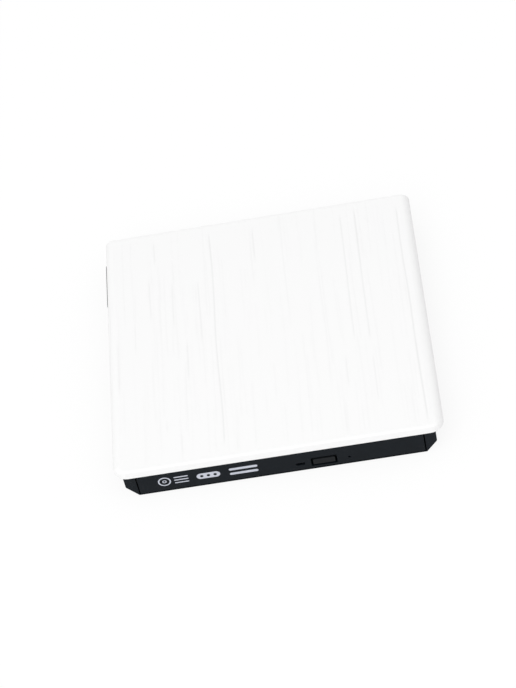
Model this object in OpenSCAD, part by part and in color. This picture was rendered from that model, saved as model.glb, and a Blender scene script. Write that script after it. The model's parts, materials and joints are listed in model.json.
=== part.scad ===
// External disc drive: a slim tray-loading optical drive in a two-part housing.
// Millimetres. +Z is up, +X is right, and the tray comes out towards -Y.
// The origin lies on the table, under the middle of the housing.

/* [Housing] */
// Wall of the cover and the base
wall = 1.6; // [1.2:0.1:2.2]
// Height of the cover above its lower edge
cover_h = 4.6; // [4:0.1:7]
// Radius of the cover's rolled side edges
roll_r = 4.4; // [2.5:0.1:7]
// Plan radius of the cover's front corners
front_r = 6.6; // [3:0.1:8]
// How far the cover stands out past the base at each side
side_lap = 4.2; // [2:0.1:5]
// How far the cover stands out past the base at the back
rear_lap = 1.2; // [0.6:0.1:3]
// Width of each cheek beside the bezel
cheek_w = 5.1; // [5:0.1:9]
// Width of the chamfer along each lower side of the base
chamfer_w = 5; // [3:0.1:7]
// Height of the chamfer along each lower side of the base
chamfer_h = 6.6; // [4:0.1:8]
// Radius where the base's side turns into the chamfer
knee_r = 1.5; // [0.5:0.1:3]
// Thickness of the base's lip under the bezel
lip_t = 0.4; // [0.3:0.05:0.8]
// Depth of the electronics bay behind the drive
bay_d = 11; // [10:0.5:20]
// Height of the feet under the base
foot_h = 1; // [0.6:0.1:3]
// Diameter of the feet
foot_d = 10; // [6:0.5:12]

/* [Side port] */
// Middle of the port hood, measured forward from the cover's back edge
port_back = 24.5; // [22:0.5:30]
// Length of the port hood
hood_l = 27; // [20:0.5:30]
// How far the hood stands proud of the cover's side
hood_proud = 0.45; // [0.2:0.05:1.5]
// Width of the socket's metal shell
socket_w = 8.94; // [8:0.02:12]
// Height of the socket's metal shell
socket_h = 3.26; // [2.8:0.02:3.6]
// Depth of the socket's metal shell
socket_d = 7.3; // [7:0.1:8]

/* [Bezel] */
// Thickness of the bezel
bezel_t = 2.6; // [2:0.1:4]
// Gap between the bezel and the cheeks
seam = 0.6; // [0.3:0.05:1]
// Gap between the bezel and the cover's front edge
shadow_gap = 0.5; // [0.3:0.05:1]
// Width of the eject button's face
button_w = 9.8; // [8:0.1:12]
// Height of the eject button's face
button_h = 3.3; // [2.8:0.1:4]
// Gap around the eject button
button_gap = 0.95; // [0.2:0.05:1.2]
// Extra room above the eject button
button_headroom = 0.4; // [0:0.05:0.8]
// How far the eject button's face lies behind the bezel's face
button_sink = 0.1; // [0:0.05:0.8]
// Middle of the eject button, to the right of the bezel's middle
button_x = 19.2; // [18.8:0.1:21]
// Travel of the eject button
button_travel = 0.8; // [0.4:0.1:1]
// Middle of the lamp slot, to the right of the bezel's middle
lamp_x = 8.5; // [7:0.1:9]
// Width of the lamp slot
lamp_w = 4.6; // [3:0.1:5]
// Height of the lamp slot
lamp_h = 1.5; // [0.8:0.05:2]
// How far the lamp's window lies behind the bezel's face
lamp_sink = 0.7; // [0.2:0.05:1]
// Middle of the release pinhole, to the right of the bezel's middle
pinhole_x = 30.5; // [29:0.1:32]
// Diameter of the release pinhole
pinhole_d = 1.2; // [0.9:0.1:1.6]

/* [Drive] */
// Diameter of the disc that the tray takes
disc_d = 120; // [116:1:124]
// Thickness of that disc
disc_t = 1.2; // [1.1:0.05:1.4]
// Radial room around the disc in the tray
disc_gap = 0.6; // [0.4:0.1:1]
// Height of the drive's steel case
drive_h = 9.5; // [9.4:0.1:12.7]
// Thickness of the drive's sheet steel
sheet_t = 0.5; // [0.4:0.05:0.8]
// Thickness of the tray's rim beside the disc
rim_t = 1.2; // [1:0.1:2]
// Thickness of the floor under the disc
tray_floor_t = 1; // [0.8:0.1:1.4]
// Thickness of the sheet that the rails are bent from
rail_t = 0.5; // [0.4:0.05:0.6]

/* [Spindle] */
// Diameter of the hub that the disc centres on
hub_d = 14.8; // [14.4:0.05:14.9]
// Diameter of the turntable
turntable_d = 29.2; // [27:0.1:30]
// Diameter of the spindle shaft
shaft_d = 2; // [1.5:0.1:3]
// Poles of the spindle motor's stator
stator_poles = 9; // [6:3:12]

/* [Pickup] */
// Direction of the pickup's path, turned from +X
sled_angle = 225; // [222:1:228]
// Distance of the lens from the spindle at the inner end of its path
lens_r0 = 23; // [22:0.5:25]
// Diameter of the lens
lens_d = 4; // [3:0.1:5]
// Diameter of the guide rods
rod_d = 1.6; // [1.2:0.05:1.7]
// Outer diameter of the lead screw
screw_d = 1.8; // [1.4:0.05:2]

/* [Hidden] */
$fn = 64;

// General clearances
slip = 0.05;          // radial room of a running fit
seat = 0.02;          // radial room of a pressed or screwed seat
panel_gap = 0.3;      // room between fixed mouldings

// Half widths, from the disc outwards
recess_r = disc_d / 2 + disc_gap;
tray_hw = recess_r + rim_t;
tray_side_gap = 0.4;
case_in = tray_hw + tray_side_gap;
case_hw = case_in + sheet_t;
bezel_side_lap = 1.3;
bezel_hw = case_hw + bezel_side_lap;
cheek_in = bezel_hw + seam;
base_hw = cheek_in + cheek_w;
base_low_hw = base_hw - chamfer_w;
cover_hw = base_hw + side_lap;

// Depths, from the front backwards
bezel_setback = 0.4;
tray_front_t = 2.2;
tray_rear_t = 2;
tray_rear_gap = 0.8;
bezel_back_in = bezel_setback + bezel_t;
disc_in = bezel_back_in + tray_front_t + recess_r;
tray_rear_in = disc_in + recess_r + tray_rear_t;
case_rear_in = tray_rear_in + tray_rear_gap + sheet_t;
cover_d = case_rear_in + bay_d + wall + rear_lap;
front = -cover_d / 2;
back = cover_d / 2;
bezel_front = front + bezel_setback;
bezel_back = front + bezel_back_in;
disc_y = front + disc_in;
tray_front = bezel_back;
tray_rear = front + tray_rear_in;
case_front = bezel_back + 1.3;
case_rear = front + case_rear_in;
bay_rear = case_rear + bay_d;
base_rear = bay_rear + wall;
floor_front = bezel_back + 0.5;

// Heights, from the table upwards
pad_h = 0.4;
base_bottom = foot_h;
floor_top = base_bottom + wall;
pan_bottom = floor_top + pad_h;
pan_top = pan_bottom + sheet_t;
lid_top = pan_bottom + drive_h;
lid_bottom = lid_top - sheet_t;
tray_lid_gap = 0.6;
rim_top = lid_bottom - tray_lid_gap;
mech_h = 2.9;
tray_under = pan_top + mech_h;
tray_floor = tray_under + tray_floor_t;
disc_lift = 1.6;
disc_z = tray_floor + disc_lift;
lip_gap = 0.2;
bezel_bottom = base_bottom + lip_t + lip_gap;
bezel_top = lid_top + 0.9;
cover_bottom = bezel_top + shadow_gap;
cover_top = cover_bottom + cover_h;
cover_ceiling = cover_top - wall;
base_top = cover_bottom - panel_gap;
roll = min(roll_r, cover_h);
cheek_t = 2.2;
chamfer_z = base_bottom + chamfer_h;
chamfer_angle = atan2(chamfer_h, chamfer_w);

// Housing details
flange_h = 1.3;
flange_hw = cover_hw - 1.2;
flange_front = front + front_r + 1.5;
flange_back = back - 0.5;
boss_x = bezel_hw - 8;
boss_y = case_rear + 5.5;
boss_r = 3.2;
boss_meet = floor_top + 5.4;
screw_shank_r = 0.95;
screw_head_r = 2.2;
screw_head_z = base_bottom + 2;
screw_head_h = 1.8;
screw_tip = boss_meet + 5;
foot_x = bezel_hw - 11;
foot_front_y = front + 13;
foot_rear_y = boss_y - screw_head_r - foot_d / 2 - 3.5;
foot_sunk = 0.5;
hook_w = 8;
hook_t = 0.9;
hook_barb = 0.5;
hook_z = base_top - 3;
hook_y = [front + 27, disc_y + 6];

// Side port and bridge board
port_y = back - port_back;
port_z = base_top - 3.5;
hood_bottom = port_z - 3.5;
hood_corner = 1.4;
hood_out = cover_hw + hood_proud;
hood_window_l = hood_l - 3;
hood_window_h = 5;
mouth_sink = 1.55;
mouth_w = socket_w + 4;
mouth_h = socket_h + 2;
shell_t = 0.3;
board_t = 1;
board_top = port_z - socket_h / 2;
board_bottom = board_top - board_t;
leg_out = base_hw - wall - 0.9;
leg_in = case_hw + sheet_t + 0.3;
bridge_right = 30;
bridge_front = case_rear + sheet_t + 0.4;
bridge_back = bay_rear - 0.6;
coupler_w = 26;
coupler_h = 3.2;

// Rails, from the case wall inwards
front_wall = 1.85;
guide_w = 1.5;
guide_in = case_in - guide_w;
web_out = guide_in - 0.25;
web_in = web_out - rail_t;
skirt_out = web_in - 0.35;
skirt_w = 3.6;
skirt_in = skirt_out - skirt_w;
rail_reach = 1;
rail_slip = 0.2;
rail_low = pan_top + 0.9;
rail_high = pan_top + 2.5;
guide_top = rail_high;
skirt_bottom = pan_top + 0.9;
rail_front = tray_front + front_wall + panel_gap;
rail_l = 0.93 * (tray_rear - tray_front);
guide_l = 0.46 * (tray_rear - tray_front);

// Tray front: button, lamp and pinhole sit on one line
control_z = bezel_bottom + 3.9;
tray_wall = 1.2;
notch_r = 9;
button_corner = 0.5;
button_flange_t = 0.8;
button_flange_lap = button_gap + button_headroom + 0.5;
button_stem_w = 3;
button_stem_h = 1;
switch_front = tray_front + 6.3;
board_clear = 0.1;
button_board_top = control_z - max(lamp_h, button_stem_h) / 2 - board_clear;
button_board_t = 0.6;
button_board_left = lamp_x - 4.5;
button_board_right = button_x + 8.8;
button_board_front = tray_front + 3.9;
button_board_back = tray_front + 11.8;
clip_x = 45;
clip_w = 5.6;
clip_h = 1.2;
clip_z = tray_under + 1.6;
clip_barb = 0.5;

// Latch: a lever on the tray that can hook behind a post on the pan
latch_x = skirt_in - 4.5;
latch_y = tray_front + 7.75;
latch_pin_r = 1;
latch_hub_r = 2.4;
latch_arm = 2.4;
latch_t = 1;
latch_z = control_z - 0.6;
latch_post_x = latch_x - 5.5;
latch_post_y = latch_y + 9;
latch_post_r = 1.2;
tooth_in = 11.6;
tooth_out = 13.6;
tooth_tip = 3.3;
solenoid_w = 9;
solenoid_d = 6;

// Ejector: a sprung rod on the pan that starts the tray on its way out
eject_x = 28;
eject_z = pan_top + 1.5;
eject_rib_y = disc_y + 32;
eject_rib_t = 1.5;
eject_rod_r = 0.8;
eject_head_r = 1.2;
eject_head_t = 1.5;
eject_head_y = eject_rib_y + eject_rib_t + panel_gap;
eject_wall_1 = eject_head_y + 11.5;
eject_wall_2 = eject_wall_1 + 7;
eject_rod_end = tray_rear + 0.3;
eject_bracket_t = 0.6;
eject_bracket_w = 6;
spring_wire_r = 0.12;
spring_r = 1.02;
spring_turns = 8;

// Boards inside the drive and the flat cable to the tray
drive_board_left = -50;
drive_board_right = 15;
drive_board_front = disc_y + 37;
drive_board_back = tray_rear - 1.6;
drive_board_bottom = pan_top + 0.4;
drive_board_t = 0.8;
drive_board_top = drive_board_bottom + drive_board_t;
chip_h = 1.2;
flex_left = -20;
flex_w = 20;
flex_t = 0.15;
flex_low = pan_top + 0.1;
flex_high = pan_top + 0.65;
flex_bend_y = disc_y - 34;
flex_end_y = disc_y + 34;
flex_connector_d = 2.4;

// Traverse, in its own axes: u runs along the pickup's path and v across it
lens_r1 = disc_d / 2 - 2;
flex_room = 1.2;
cover_sheet_t = 0.4;
shield_t = 0.2;
frame_bottom = pan_top + flex_room;
frame_top = tray_floor - 0.1 - cover_sheet_t;
frame_u0 = -20;
frame_u1 = lens_r1 + 10;
frame_v0 = -24;
frame_v1 = 27;
frame_rim = 2.5;
frame_side_gap = 1.2;
open_u0 = 1.5;
open_u1 = lens_r1 + 7.2;
rod_end_u = lens_r1 - 2;
rod_v = 17.5;
rod_seat = 2;
screw_v = 22.3;
open_v0 = -rod_v - 3.1;
open_v1 = screw_v + 2.9;
axis_z = (frame_bottom + frame_top) / 2;
well_r = 13.2;
platform_t = 0.6;
window_gap = 0.8;
tunnel_top = disc_z - 0.4;
ear_z = frame_bottom + 0.3;
ear_t = 0.8;
ear_r = 3.4;
ear_hole_r = 2.3;
ears = [[-25, 0], [32, -29], [32, 32]];
damper_post_r = 1.2;
damper_post_bottom = frame_bottom - 0.1;
damper_screw_r = 0.55;
motor_r = 1.9;
motor_l = 8.2;
motor_end = open_u0 + motor_l;
motor_boss_l = 0.3;
screw_shaft_r = 0.5;

// Spindle heights
pad_t = 0.3;
pad_w = 3.2;
turntable_top = disc_z - pad_t;
turntable_t = 0.5;
platform_top = frame_bottom + platform_t;
spindle_plate_t = 0.4;
bearing_r = 2.5;
bearing_top = turntable_top - 1.2;
cup_r = 12.2;
cup_t = 0.8;
cup_roof_t = 0.6;
cup_bottom = platform_top + 0.7;
stator_r = cup_r - cup_t - 0.6;
stator_bottom = platform_top + spindle_plate_t + 0.2;
stator_t = 1.2;
hub_h = disc_t + 0.5;
hub_cone_h = 0.5;
hub_cone_r = hub_d / 2 - 1.8;
claw_w = 2.8;
claw_depth = 2;
claw_seat_z = disc_z + 0.9;

// Pickup, measured from the lens
pickup_gap = 0.2;
pickup_bottom = frame_bottom + pickup_gap;
pickup_top = frame_top - pickup_gap;
pickup_back = 14;
pickup_nose = 6.5;
pickup_nose_hw = 8;
pickup_hw = 14.6;
pickup_spindle_r = well_r + 0.7;
bush_reach = 2.1;
main_bush_u = [-13, -3];
side_bush_u = [-8, -4];
follower_u = [-11, -6];
follower_gap = 0.6;
slot_hw = 9;
holder_hu = 4.2;
holder_hv = 6.8;
holder_gap = 0.3;
holder_h = 1.1;
lens_rise = 0.4;
magnet_hv = 4;
magnet_t = 1.4;
magnet_h = 1.2;

housing_black = [0.13, 0.13, 0.15];
plastic_black = [0.09, 0.09, 0.10];
cover_white = [0.95, 0.95, 0.96];
steel = [0.72, 0.73, 0.75];
dark_steel = [0.45, 0.46, 0.48];
board_green = [0.10, 0.35, 0.20];
chip_black = [0.07, 0.07, 0.08];
rubber_black = [0.12, 0.12, 0.12];

// Shared shapes

// Block between two opposite corners
module block(low, high) {
    translate(low) cube(high - low);
}

// Upright round post between two heights
module post(r, low, high) {
    translate([0, 0, low]) cylinder(r = r, h = high - low);
}

// Round bar along +X between two places
module bar_x(r, from, to) {
    translate([from, 0, 0]) rotate([0, 90, 0]) cylinder(r = r, h = to - from);
}

// Round bar along +Y between two places
module bar_y(r, from, to) {
    translate([0, from, 0]) rotate([-90, 0, 0]) cylinder(r = r, h = to - from);
}

// Flat rectangle with round corners, centred
module rounded_rect(w, h, r) {
    square([w - 2 * r, h], center = true);
    square([w, h - 2 * r], center = true);
    for (x = [-1, 1], y = [-1, 1])
        translate([x * (w / 2 - r), y * (h / 2 - r)]) circle(r);
}

// Extrude an XZ outline along Y between two places
module along_y(from, to) {
    translate([0, to, 0]) rotate([90, 0, 0]) linear_extrude(to - from) children();
}

// Extrude a YZ outline along X between two places
module along_x(from, to) {
    translate([from, 0, 0]) rotate([90, 0, 90]) linear_extrude(to - from) children();
}

module both_sides() {
    children();
    mirror([1, 0, 0]) children();
}

// Turn the traverse's own axes into the drive's
module in_traverse() {
    translate([0, disc_y, 0]) rotate([0, 0, sled_angle]) children();
}

// Place the pickup's pieces at the inner end of its path
module at_lens() {
    in_traverse() translate([lens_r0, 0, 0]) children();
}

// Housing

// End view of the cover, with its two rolled edges
module cover_profile(inset) {
    hw = cover_hw - inset;
    top = cover_top - inset;
    r = max(roll - inset, 0.4);
    translate([-hw + r, cover_bottom]) square([2 * (hw - r), top - cover_bottom]);
    translate([-hw, cover_bottom]) square([2 * hw, top - r - cover_bottom]);
    for (x = [-1, 1]) translate([x * (hw - r), top - r]) circle(r);
}

// Plan of the cover: round corners in front, square ones behind
module cover_plan(inset) {
    hw = cover_hw - inset;
    r = front_r - inset;
    translate([-hw, front + front_r]) square([2 * hw, back - inset - front - front_r]);
    translate([-hw + r, front + inset]) square([2 * (hw - r), back - front - 2 * inset]);
    for (x = [-1, 1]) translate([x * (hw - r), front + front_r]) circle(r);
}

module cover_solid(inset) {
    intersection() {
        along_y(front, back) cover_profile(inset);
        translate([0, 0, cover_bottom]) linear_extrude(cover_h - inset) cover_plan(inset);
    }
}

// Spring hook that snaps into the base's side wall
module cover_hook() {
    x = base_hw - wall - slip * 3;
    block([x - hook_t, -hook_w / 2, hook_z - 1], [x, hook_w / 2, cover_ceiling + 0.1]);
    along_y(-hook_w / 2, hook_w / 2)
        polygon([
            [x - 0.1, hook_z - 1], [x, hook_z - 1],
            [x + hook_barb, hook_z + 0.2], [x - 0.1, hook_z + 0.2]
        ]);
}

module top_cover() {
    rib_t = 1.2;
    rib_x = 0.62 * case_hw;
    color(cover_white) {
        difference() {
            union() {
                difference() {
                    cover_solid(0);
                    cover_solid(wall);
                }
                both_sides() {
                    block(
                        [rib_x, case_front + 14, lid_top],
                        [rib_x + rib_t, case_rear - 10, cover_ceiling + 0.1]
                    );
                    translate([boss_x, boss_y, 0]) post(boss_r, boss_meet, cover_ceiling + 0.1);
                    for (y = hook_y) translate([0, y, 0]) cover_hook();
                }
            }
            both_sides() translate([boss_x, boss_y, 0])
                post(screw_shank_r + seat, boss_meet - 1, screw_tip + 1);
        }
    }
}

// End view of the base; the inner outline lies one wall inside the outer one
module base_profile(inset, top) {
    low = base_low_hw - inset * tan(chamfer_angle / 2);
    side = base_hw - inset;
    knee = chamfer_z + inset * tan((90 - chamfer_angle) / 2);
    cut = knee_r * tan((90 - chamfer_angle) / 2);
    cut_x = side - cut * cos(chamfer_angle);
    cut_z = knee - cut * sin(chamfer_angle);
    polygon([
        [-low, base_bottom + inset], [low, base_bottom + inset], [cut_x, cut_z], [side, knee + cut],
        [side, top], [-side, top], [-side, knee + cut], [-cut_x, cut_z]
    ]);
    for (x = [-1, 1]) translate([x * (side - knee_r), knee + cut]) circle(knee_r);
}

// Lip round the top of the base, which the cover's edge sits over
module base_flange() {
    translate([0, 0, base_top - flange_h]) linear_extrude(flange_h) difference() {
        translate([-flange_hw, flange_front]) square([2 * flange_hw, flange_back - flange_front]);
        translate([-base_hw + wall, flange_front - 1])
            square([2 * (base_hw - wall), bay_rear - flange_front + 1]);
    }
}

module base_posts() {
    both_sides() {
        translate([boss_x, boss_y, 0]) post(boss_r, base_bottom, boss_meet);
        for (y = [case_front + 12, disc_y, case_rear - 12])
            translate([bezel_hw - 22, y, 0]) post(4, base_bottom, pan_bottom);
    }
    for (p = [[bridge_right - 4, boss_y], [-30, boss_y + 1.5], [-(leg_out + leg_in) / 2, back - 10]])
        translate([p[0], p[1], 0]) post(1.6, base_bottom + wall / 2, board_bottom);
}

module base_shell() {
    color(housing_black) difference() {
        union() {
            difference() {
                along_y(bezel_front, base_rear) base_profile(0, base_top);
                along_y(bezel_front + cheek_t, bay_rear) base_profile(wall, base_top + 1);
                block(
                    [-cheek_in, bezel_front - 1, base_bottom + lip_t],
                    [cheek_in, floor_front, base_top + 1]
                );
                block(
                    [-cheek_in, bezel_front - 1, floor_top],
                    [cheek_in, bezel_front + cheek_t + 1, base_top + 1]
                );
            }
            base_flange();
            intersection() {
                base_posts();
                along_y(bezel_front, base_rear) base_profile(0, base_top);
            }
        }
        both_sides() {
            translate([boss_x, boss_y, 0]) {
                post(screw_head_r + 0.2, 0, screw_head_z);
                post(screw_shank_r + 0.3, 0, boss_meet + 1);
            }
            for (y = [foot_front_y, foot_rear_y])
                translate([foot_x, y, 0]) post(foot_d / 2 + 0.15, 0, base_bottom + foot_sunk);
            for (y = hook_y)
                block(
                    [base_hw - wall - 1, y - hook_w / 2 - 0.3, hook_z - 1.2],
                    [base_hw - wall + hook_barb + 0.2, y + hook_w / 2 + 0.3, hook_z + 0.5]
                );
        }
        along_x(-base_hw - 1, -base_hw + wall + 1)
            translate([port_y, port_z]) rounded_rect(hood_window_l, hood_window_h, hood_corner);
        block(
            [-cover_hw, port_y - hood_l / 2 - panel_gap, hood_bottom - panel_gap],
            [-base_hw, port_y + hood_l / 2 + panel_gap, base_top + 1]
        );
    }
}

module rubber_feet() {
    r = foot_d / 2;
    edge = 0.5;
    top = base_bottom + foot_sunk;
    color(rubber_black) both_sides() for (y = [foot_front_y, foot_rear_y])
        translate([foot_x, y, 0])
            rotate_extrude() polygon([[0, 0], [r - edge, 0], [r, edge], [r, top], [0, top]]);
}

module housing_screws() {
    face = screw_head_z - screw_head_h;
    color(dark_steel) both_sides() translate([boss_x, boss_y, 0]) difference() {
        union() {
            post(screw_head_r, face, screw_head_z);
            post(screw_shank_r, screw_head_z - 0.1, screw_tip);
        }
        for (a = [0, 90]) rotate([0, 0, a])
            block([-1.3, -0.3, face - 0.1], [1.3, 0.3, face + 0.9]);
    }
}

// Hood of the side port: a frame with a shallow mouth for the plug's grip
module port_hood() {
    color(plastic_black) difference() {
        union() {
            along_x(-hood_out, -base_hw) translate([port_y, (hood_bottom + base_top) / 2])
                rounded_rect(hood_l, base_top - hood_bottom, hood_corner);
            along_x(-base_hw - 0.1, -base_hw + wall) translate([port_y, port_z])
                rounded_rect(hood_window_l - 0.2, hood_window_h - 0.2, hood_corner - 0.1);
        }
        along_x(-hood_out - 1, -hood_out + mouth_sink)
            translate([port_y, port_z]) rounded_rect(mouth_w, mouth_h, 1.2);
        along_x(-hood_out, -base_hw + wall + 1)
            translate([port_y, port_z]) rounded_rect(socket_w + 0.2, socket_h + 0.2, 1.3);
    }
}

module usb_shell() {
    mouth = -hood_out + mouth_sink;
    r = 1.2;
    color(steel) translate([0, port_y, port_z]) difference() {
        along_x(mouth, mouth + socket_d) rounded_rect(socket_w, socket_h, r);
        along_x(mouth - 1, mouth + socket_d - shell_t)
            rounded_rect(socket_w - 2 * shell_t, socket_h - 2 * shell_t, r - shell_t);
    }
}

module usb_tongue() {
    mouth = -hood_out + mouth_sink;
    floor_x = mouth + socket_d - shell_t;
    tongue_l = 4.6;
    inside_w = socket_w - 2 * shell_t - 0.1;
    inside_h = socket_h - 2 * shell_t - 0.1;
    color(chip_black) translate([0, port_y, port_z]) {
        along_x(floor_x - 1.4, floor_x) rounded_rect(inside_w, inside_h, 0.8);
        along_x(floor_x - 1.4 - tongue_l, floor_x - 1.3) rounded_rect(inside_w - 1.7, 0.7, 0.2);
    }
}

// L-shaped board: a strip across the bay and a leg beside the drive to the side port
module bridge_board() {
    leg_front = port_y - socket_w / 2 - 4;
    color(board_green) difference() {
        union() {
            block([-leg_out, bridge_front, board_bottom], [bridge_right, bridge_back, board_top]);
            block([-leg_out, leg_front, board_bottom], [-leg_in, bridge_back, board_top]);
        }
        translate([-boss_x, boss_y, 0]) post(boss_r + 0.3, 0, cover_top);
    }
}

module bridge_chips() {
    mid = (bridge_front + bridge_back) / 2;
    color(chip_black) {
        block([-24, mid - 3.5, board_top], [-17, mid + 3.5, board_top + 0.9]);
        block([-8, mid - 2, board_top], [-3, mid + 2, board_top + 1.1]);
        for (x = [2, 6, 10, 14])
            block([x, mid - 0.7, board_top], [x + 1.6, mid + 0.7, board_top + 0.8]);
        block([20, mid - 2.5, board_top], [24, mid + 2.5, board_top + 1.8]);
    }
}

module sata_coupler() {
    color(chip_black) difference() {
        block(
            [-coupler_w / 2, bridge_front + 0.1, board_bottom - coupler_h],
            [coupler_w / 2, bridge_front + 5, board_bottom]
        );
        block(
            [-coupler_w / 2 + 2, bridge_front - 1, board_bottom - coupler_h + 0.8],
            [coupler_w / 2 - 2, bridge_front + 3, board_bottom - coupler_h + 1.8]
        );
    }
}

// Drive case

module drive_pan() {
    opening_w = coupler_w + 0.8;
    color(steel) difference() {
        block([-case_hw, case_front, pan_bottom], [case_hw, case_rear, lid_bottom]);
        block([-case_in, case_front - 1, pan_top], [case_in, case_rear - sheet_t, lid_bottom + 1]);
        block(
            [-opening_w / 2, case_rear - 1, pan_top],
            [opening_w / 2, case_rear + 1, drive_board_top + 1.9]
        );
        translate([latch_post_x, latch_post_y, 0]) post(latch_post_r + seat, 0, lid_top);
        for (x = [-36, 36], y = [disc_y - 34, disc_y + 14])
            translate([x, y, pan_bottom - 1]) linear_extrude(sheet_t + 2) rounded_rect(14, 5, 2.4);
    }
}

// Lid with side and rear flanges that clip over the pan's walls
module drive_lid() {
    inner = case_hw + slip;
    outer = case_hw + sheet_t - slip;
    end = case_rear + sheet_t;
    flange = lid_top - 3.5;
    color(steel) {
        block([-outer, case_front, lid_bottom], [outer, end, lid_top]);
        both_sides() block([inner, case_front, flange], [outer, end, lid_bottom + 0.1]);
        block([-inner, case_rear + slip, flange], [inner, end, lid_bottom + 0.1]);
    }
}

// Moulded guide with a groove for the rail's outer flange
module rail_guide() {
    color(plastic_black) difference() {
        block([guide_in, rail_front + 0.2, pan_top], [case_in, rail_front + 0.2 + guide_l, guide_top]);
        block(
            [guide_in - 1, rail_front - 1, rail_low - rail_slip],
            [web_out + rail_reach + 0.3, rail_front + guide_l + 2, rail_low + rail_t + rail_slip]
        );
    }
}

module right_rail_guide() {
    rail_guide();
}

module left_rail_guide() {
    mirror([1, 0, 0]) rail_guide();
}

// Bent rail: outer flange low in the guide, inner flange high in the tray's groove
module rail() {
    color(steel) along_y(rail_front, rail_front + rail_l) polygon([
        [web_in, rail_low], [web_out + rail_reach, rail_low], [web_out + rail_reach, rail_low + rail_t],
        [web_out, rail_low + rail_t], [web_out, rail_high], [web_in - rail_reach - 0.45, rail_high],
        [web_in - rail_reach - 0.45, rail_high - rail_t], [web_in, rail_high - rail_t]
    ]);
}

module right_rail() {
    rail();
}

module left_rail() {
    mirror([1, 0, 0]) rail();
}

module drive_board() {
    color(board_green) {
        block(
            [drive_board_left, drive_board_front, drive_board_bottom],
            [drive_board_right, drive_board_back, drive_board_top]
        );
        for (x = [drive_board_left + 4, drive_board_right - 4])
            for (y = [drive_board_front + 7, drive_board_back - 4])
                translate([x, y, 0]) post(1.5, pan_top, drive_board_bottom + 0.1);
    }
}

module drive_chips() {
    y = drive_board_front;
    z = drive_board_top;
    color(chip_black) {
        block([-44, y + 6, z], [-32, y + 18, z + chip_h]);
        block([-27, y + 8, z], [-19, y + 14, z + chip_h]);
        block([-12, y + 5, z], [-5, y + 12, z + chip_h]);
        for (x = [-1, 3, 7]) block([x, y + 7, z], [x + 2, y + 8.2, z + 0.8]);
    }
}

module sata_plug() {
    color(chip_black) difference() {
        block(
            [-coupler_w / 2, drive_board_back - 3, drive_board_top],
            [coupler_w / 2, bridge_front - 0.1, drive_board_top + 1.5]
        );
        block(
            [-coupler_w / 2 + 1.5, case_rear - 1.5, drive_board_top + 0.4],
            [coupler_w / 2 - 1.5, bridge_front + 1, drive_board_top + 1.1]
        );
    }
}

module latch_post() {
    top = latch_z + latch_t;
    color(dark_steel) translate([latch_post_x, latch_post_y, 0]) {
        post(latch_post_r, pan_bottom, top);
        post(latch_post_r + 0.6, pan_top, pan_top + 0.4);
    }
}

// Folded bracket whose two walls guide the ejector rod
module ejector_bracket() {
    hw = eject_bracket_w / 2;
    color(steel) translate([eject_x, 0, 0]) difference() {
        union() {
            block([-hw, eject_wall_1, pan_top], [hw, eject_wall_2 + eject_bracket_t, pan_top + 0.4]);
            for (y = [eject_wall_1, eject_wall_2])
                block([-hw, y, pan_top], [hw, y + eject_bracket_t, eject_z + eject_rod_r + 0.4]);
        }
        translate([0, 0, eject_z]) bar_y(eject_rod_r + slip, eject_wall_1 - 1, eject_wall_2 + 2);
    }
}

module ejector_rod() {
    color(dark_steel) translate([eject_x, 0, eject_z]) {
        bar_y(eject_rod_r, eject_head_y, eject_rod_end);
        bar_y(eject_head_r, eject_head_y, eject_head_y + eject_head_t);
    }
}

// Ring of points on the spring's wire at turn t
function wire_ring(t, start, pitch) = [
    for (k = [0:5])
        let (r = spring_r + spring_wire_r * cos(60 * k))
            [r * cos(360 * t), start + pitch * t + spring_wire_r * sin(60 * k), r * sin(360 * t)]
];

// Coil spring between the rod's head and the first wall of the bracket
module ejector_spring() {
    rings_per_turn = 8;
    start = eject_head_y + eject_head_t + spring_wire_r + slip;
    end = eject_wall_1 - spring_wire_r - slip;
    pitch = (end - start) / spring_turns;
    rings = spring_turns * rings_per_turn;
    points = [for (i = [0:rings]) each wire_ring(i / rings_per_turn, start, pitch)];
    sides = [
        for (i = [0:rings - 1], k = [0:5])
            let (a = 6 * i + k, b = 6 * i + (k + 1) % 6)
                each [[a, b, b + 6], [a, b + 6, a + 6]]
    ];
    first_end = [for (k = [1:4]) [0, k + 1, k]];
    last_end = [for (k = [1:4]) [6 * rings, 6 * rings + k, 6 * rings + k + 1]];
    color(steel) translate([eject_x, 0, eject_z])
        polyhedron(points, concat(sides, first_end, last_end));
}

// Flat cable folded back on itself under the tray
module flex_cable() {
    mid = (flex_low + flex_high + flex_t) / 2;
    outer = (flex_high + flex_t - flex_low) / 2;
    color([0.75, 0.5, 0.2]) along_x(flex_left, flex_left + flex_w) {
        translate([flex_bend_y, flex_low]) square([drive_board_front + 3 - flex_bend_y, flex_t]);
        translate([flex_bend_y, flex_high]) square([flex_end_y - flex_bend_y, flex_t]);
        translate([flex_bend_y, mid]) intersection() {
            difference() {
                circle(outer);
                circle(outer - flex_t);
            }
            translate([-2 * outer, -2 * outer]) square([2 * outer, 4 * outer]);
        }
    }
}

// Tray

// Plan of the traverse inside the tray, clipped clear of the skirts and the front wall
module traverse_outline(grow) {
    intersection() {
        translate([frame_u0 - grow, frame_v0 - grow])
            square([frame_u1 - frame_u0 + 2 * grow, frame_v1 - frame_v0 + 2 * grow]);
        traverse_clip(-grow);
    }
}

// The tray's free plan, turned into the traverse's axes
module traverse_clip(inset) {
    hw = skirt_in - frame_side_gap - inset;
    low = tray_front + front_wall + 0.7 + inset - disc_y;
    rotate(-sled_angle) translate([-hw, low]) square([2 * hw, 2 * hw]);
}

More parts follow.
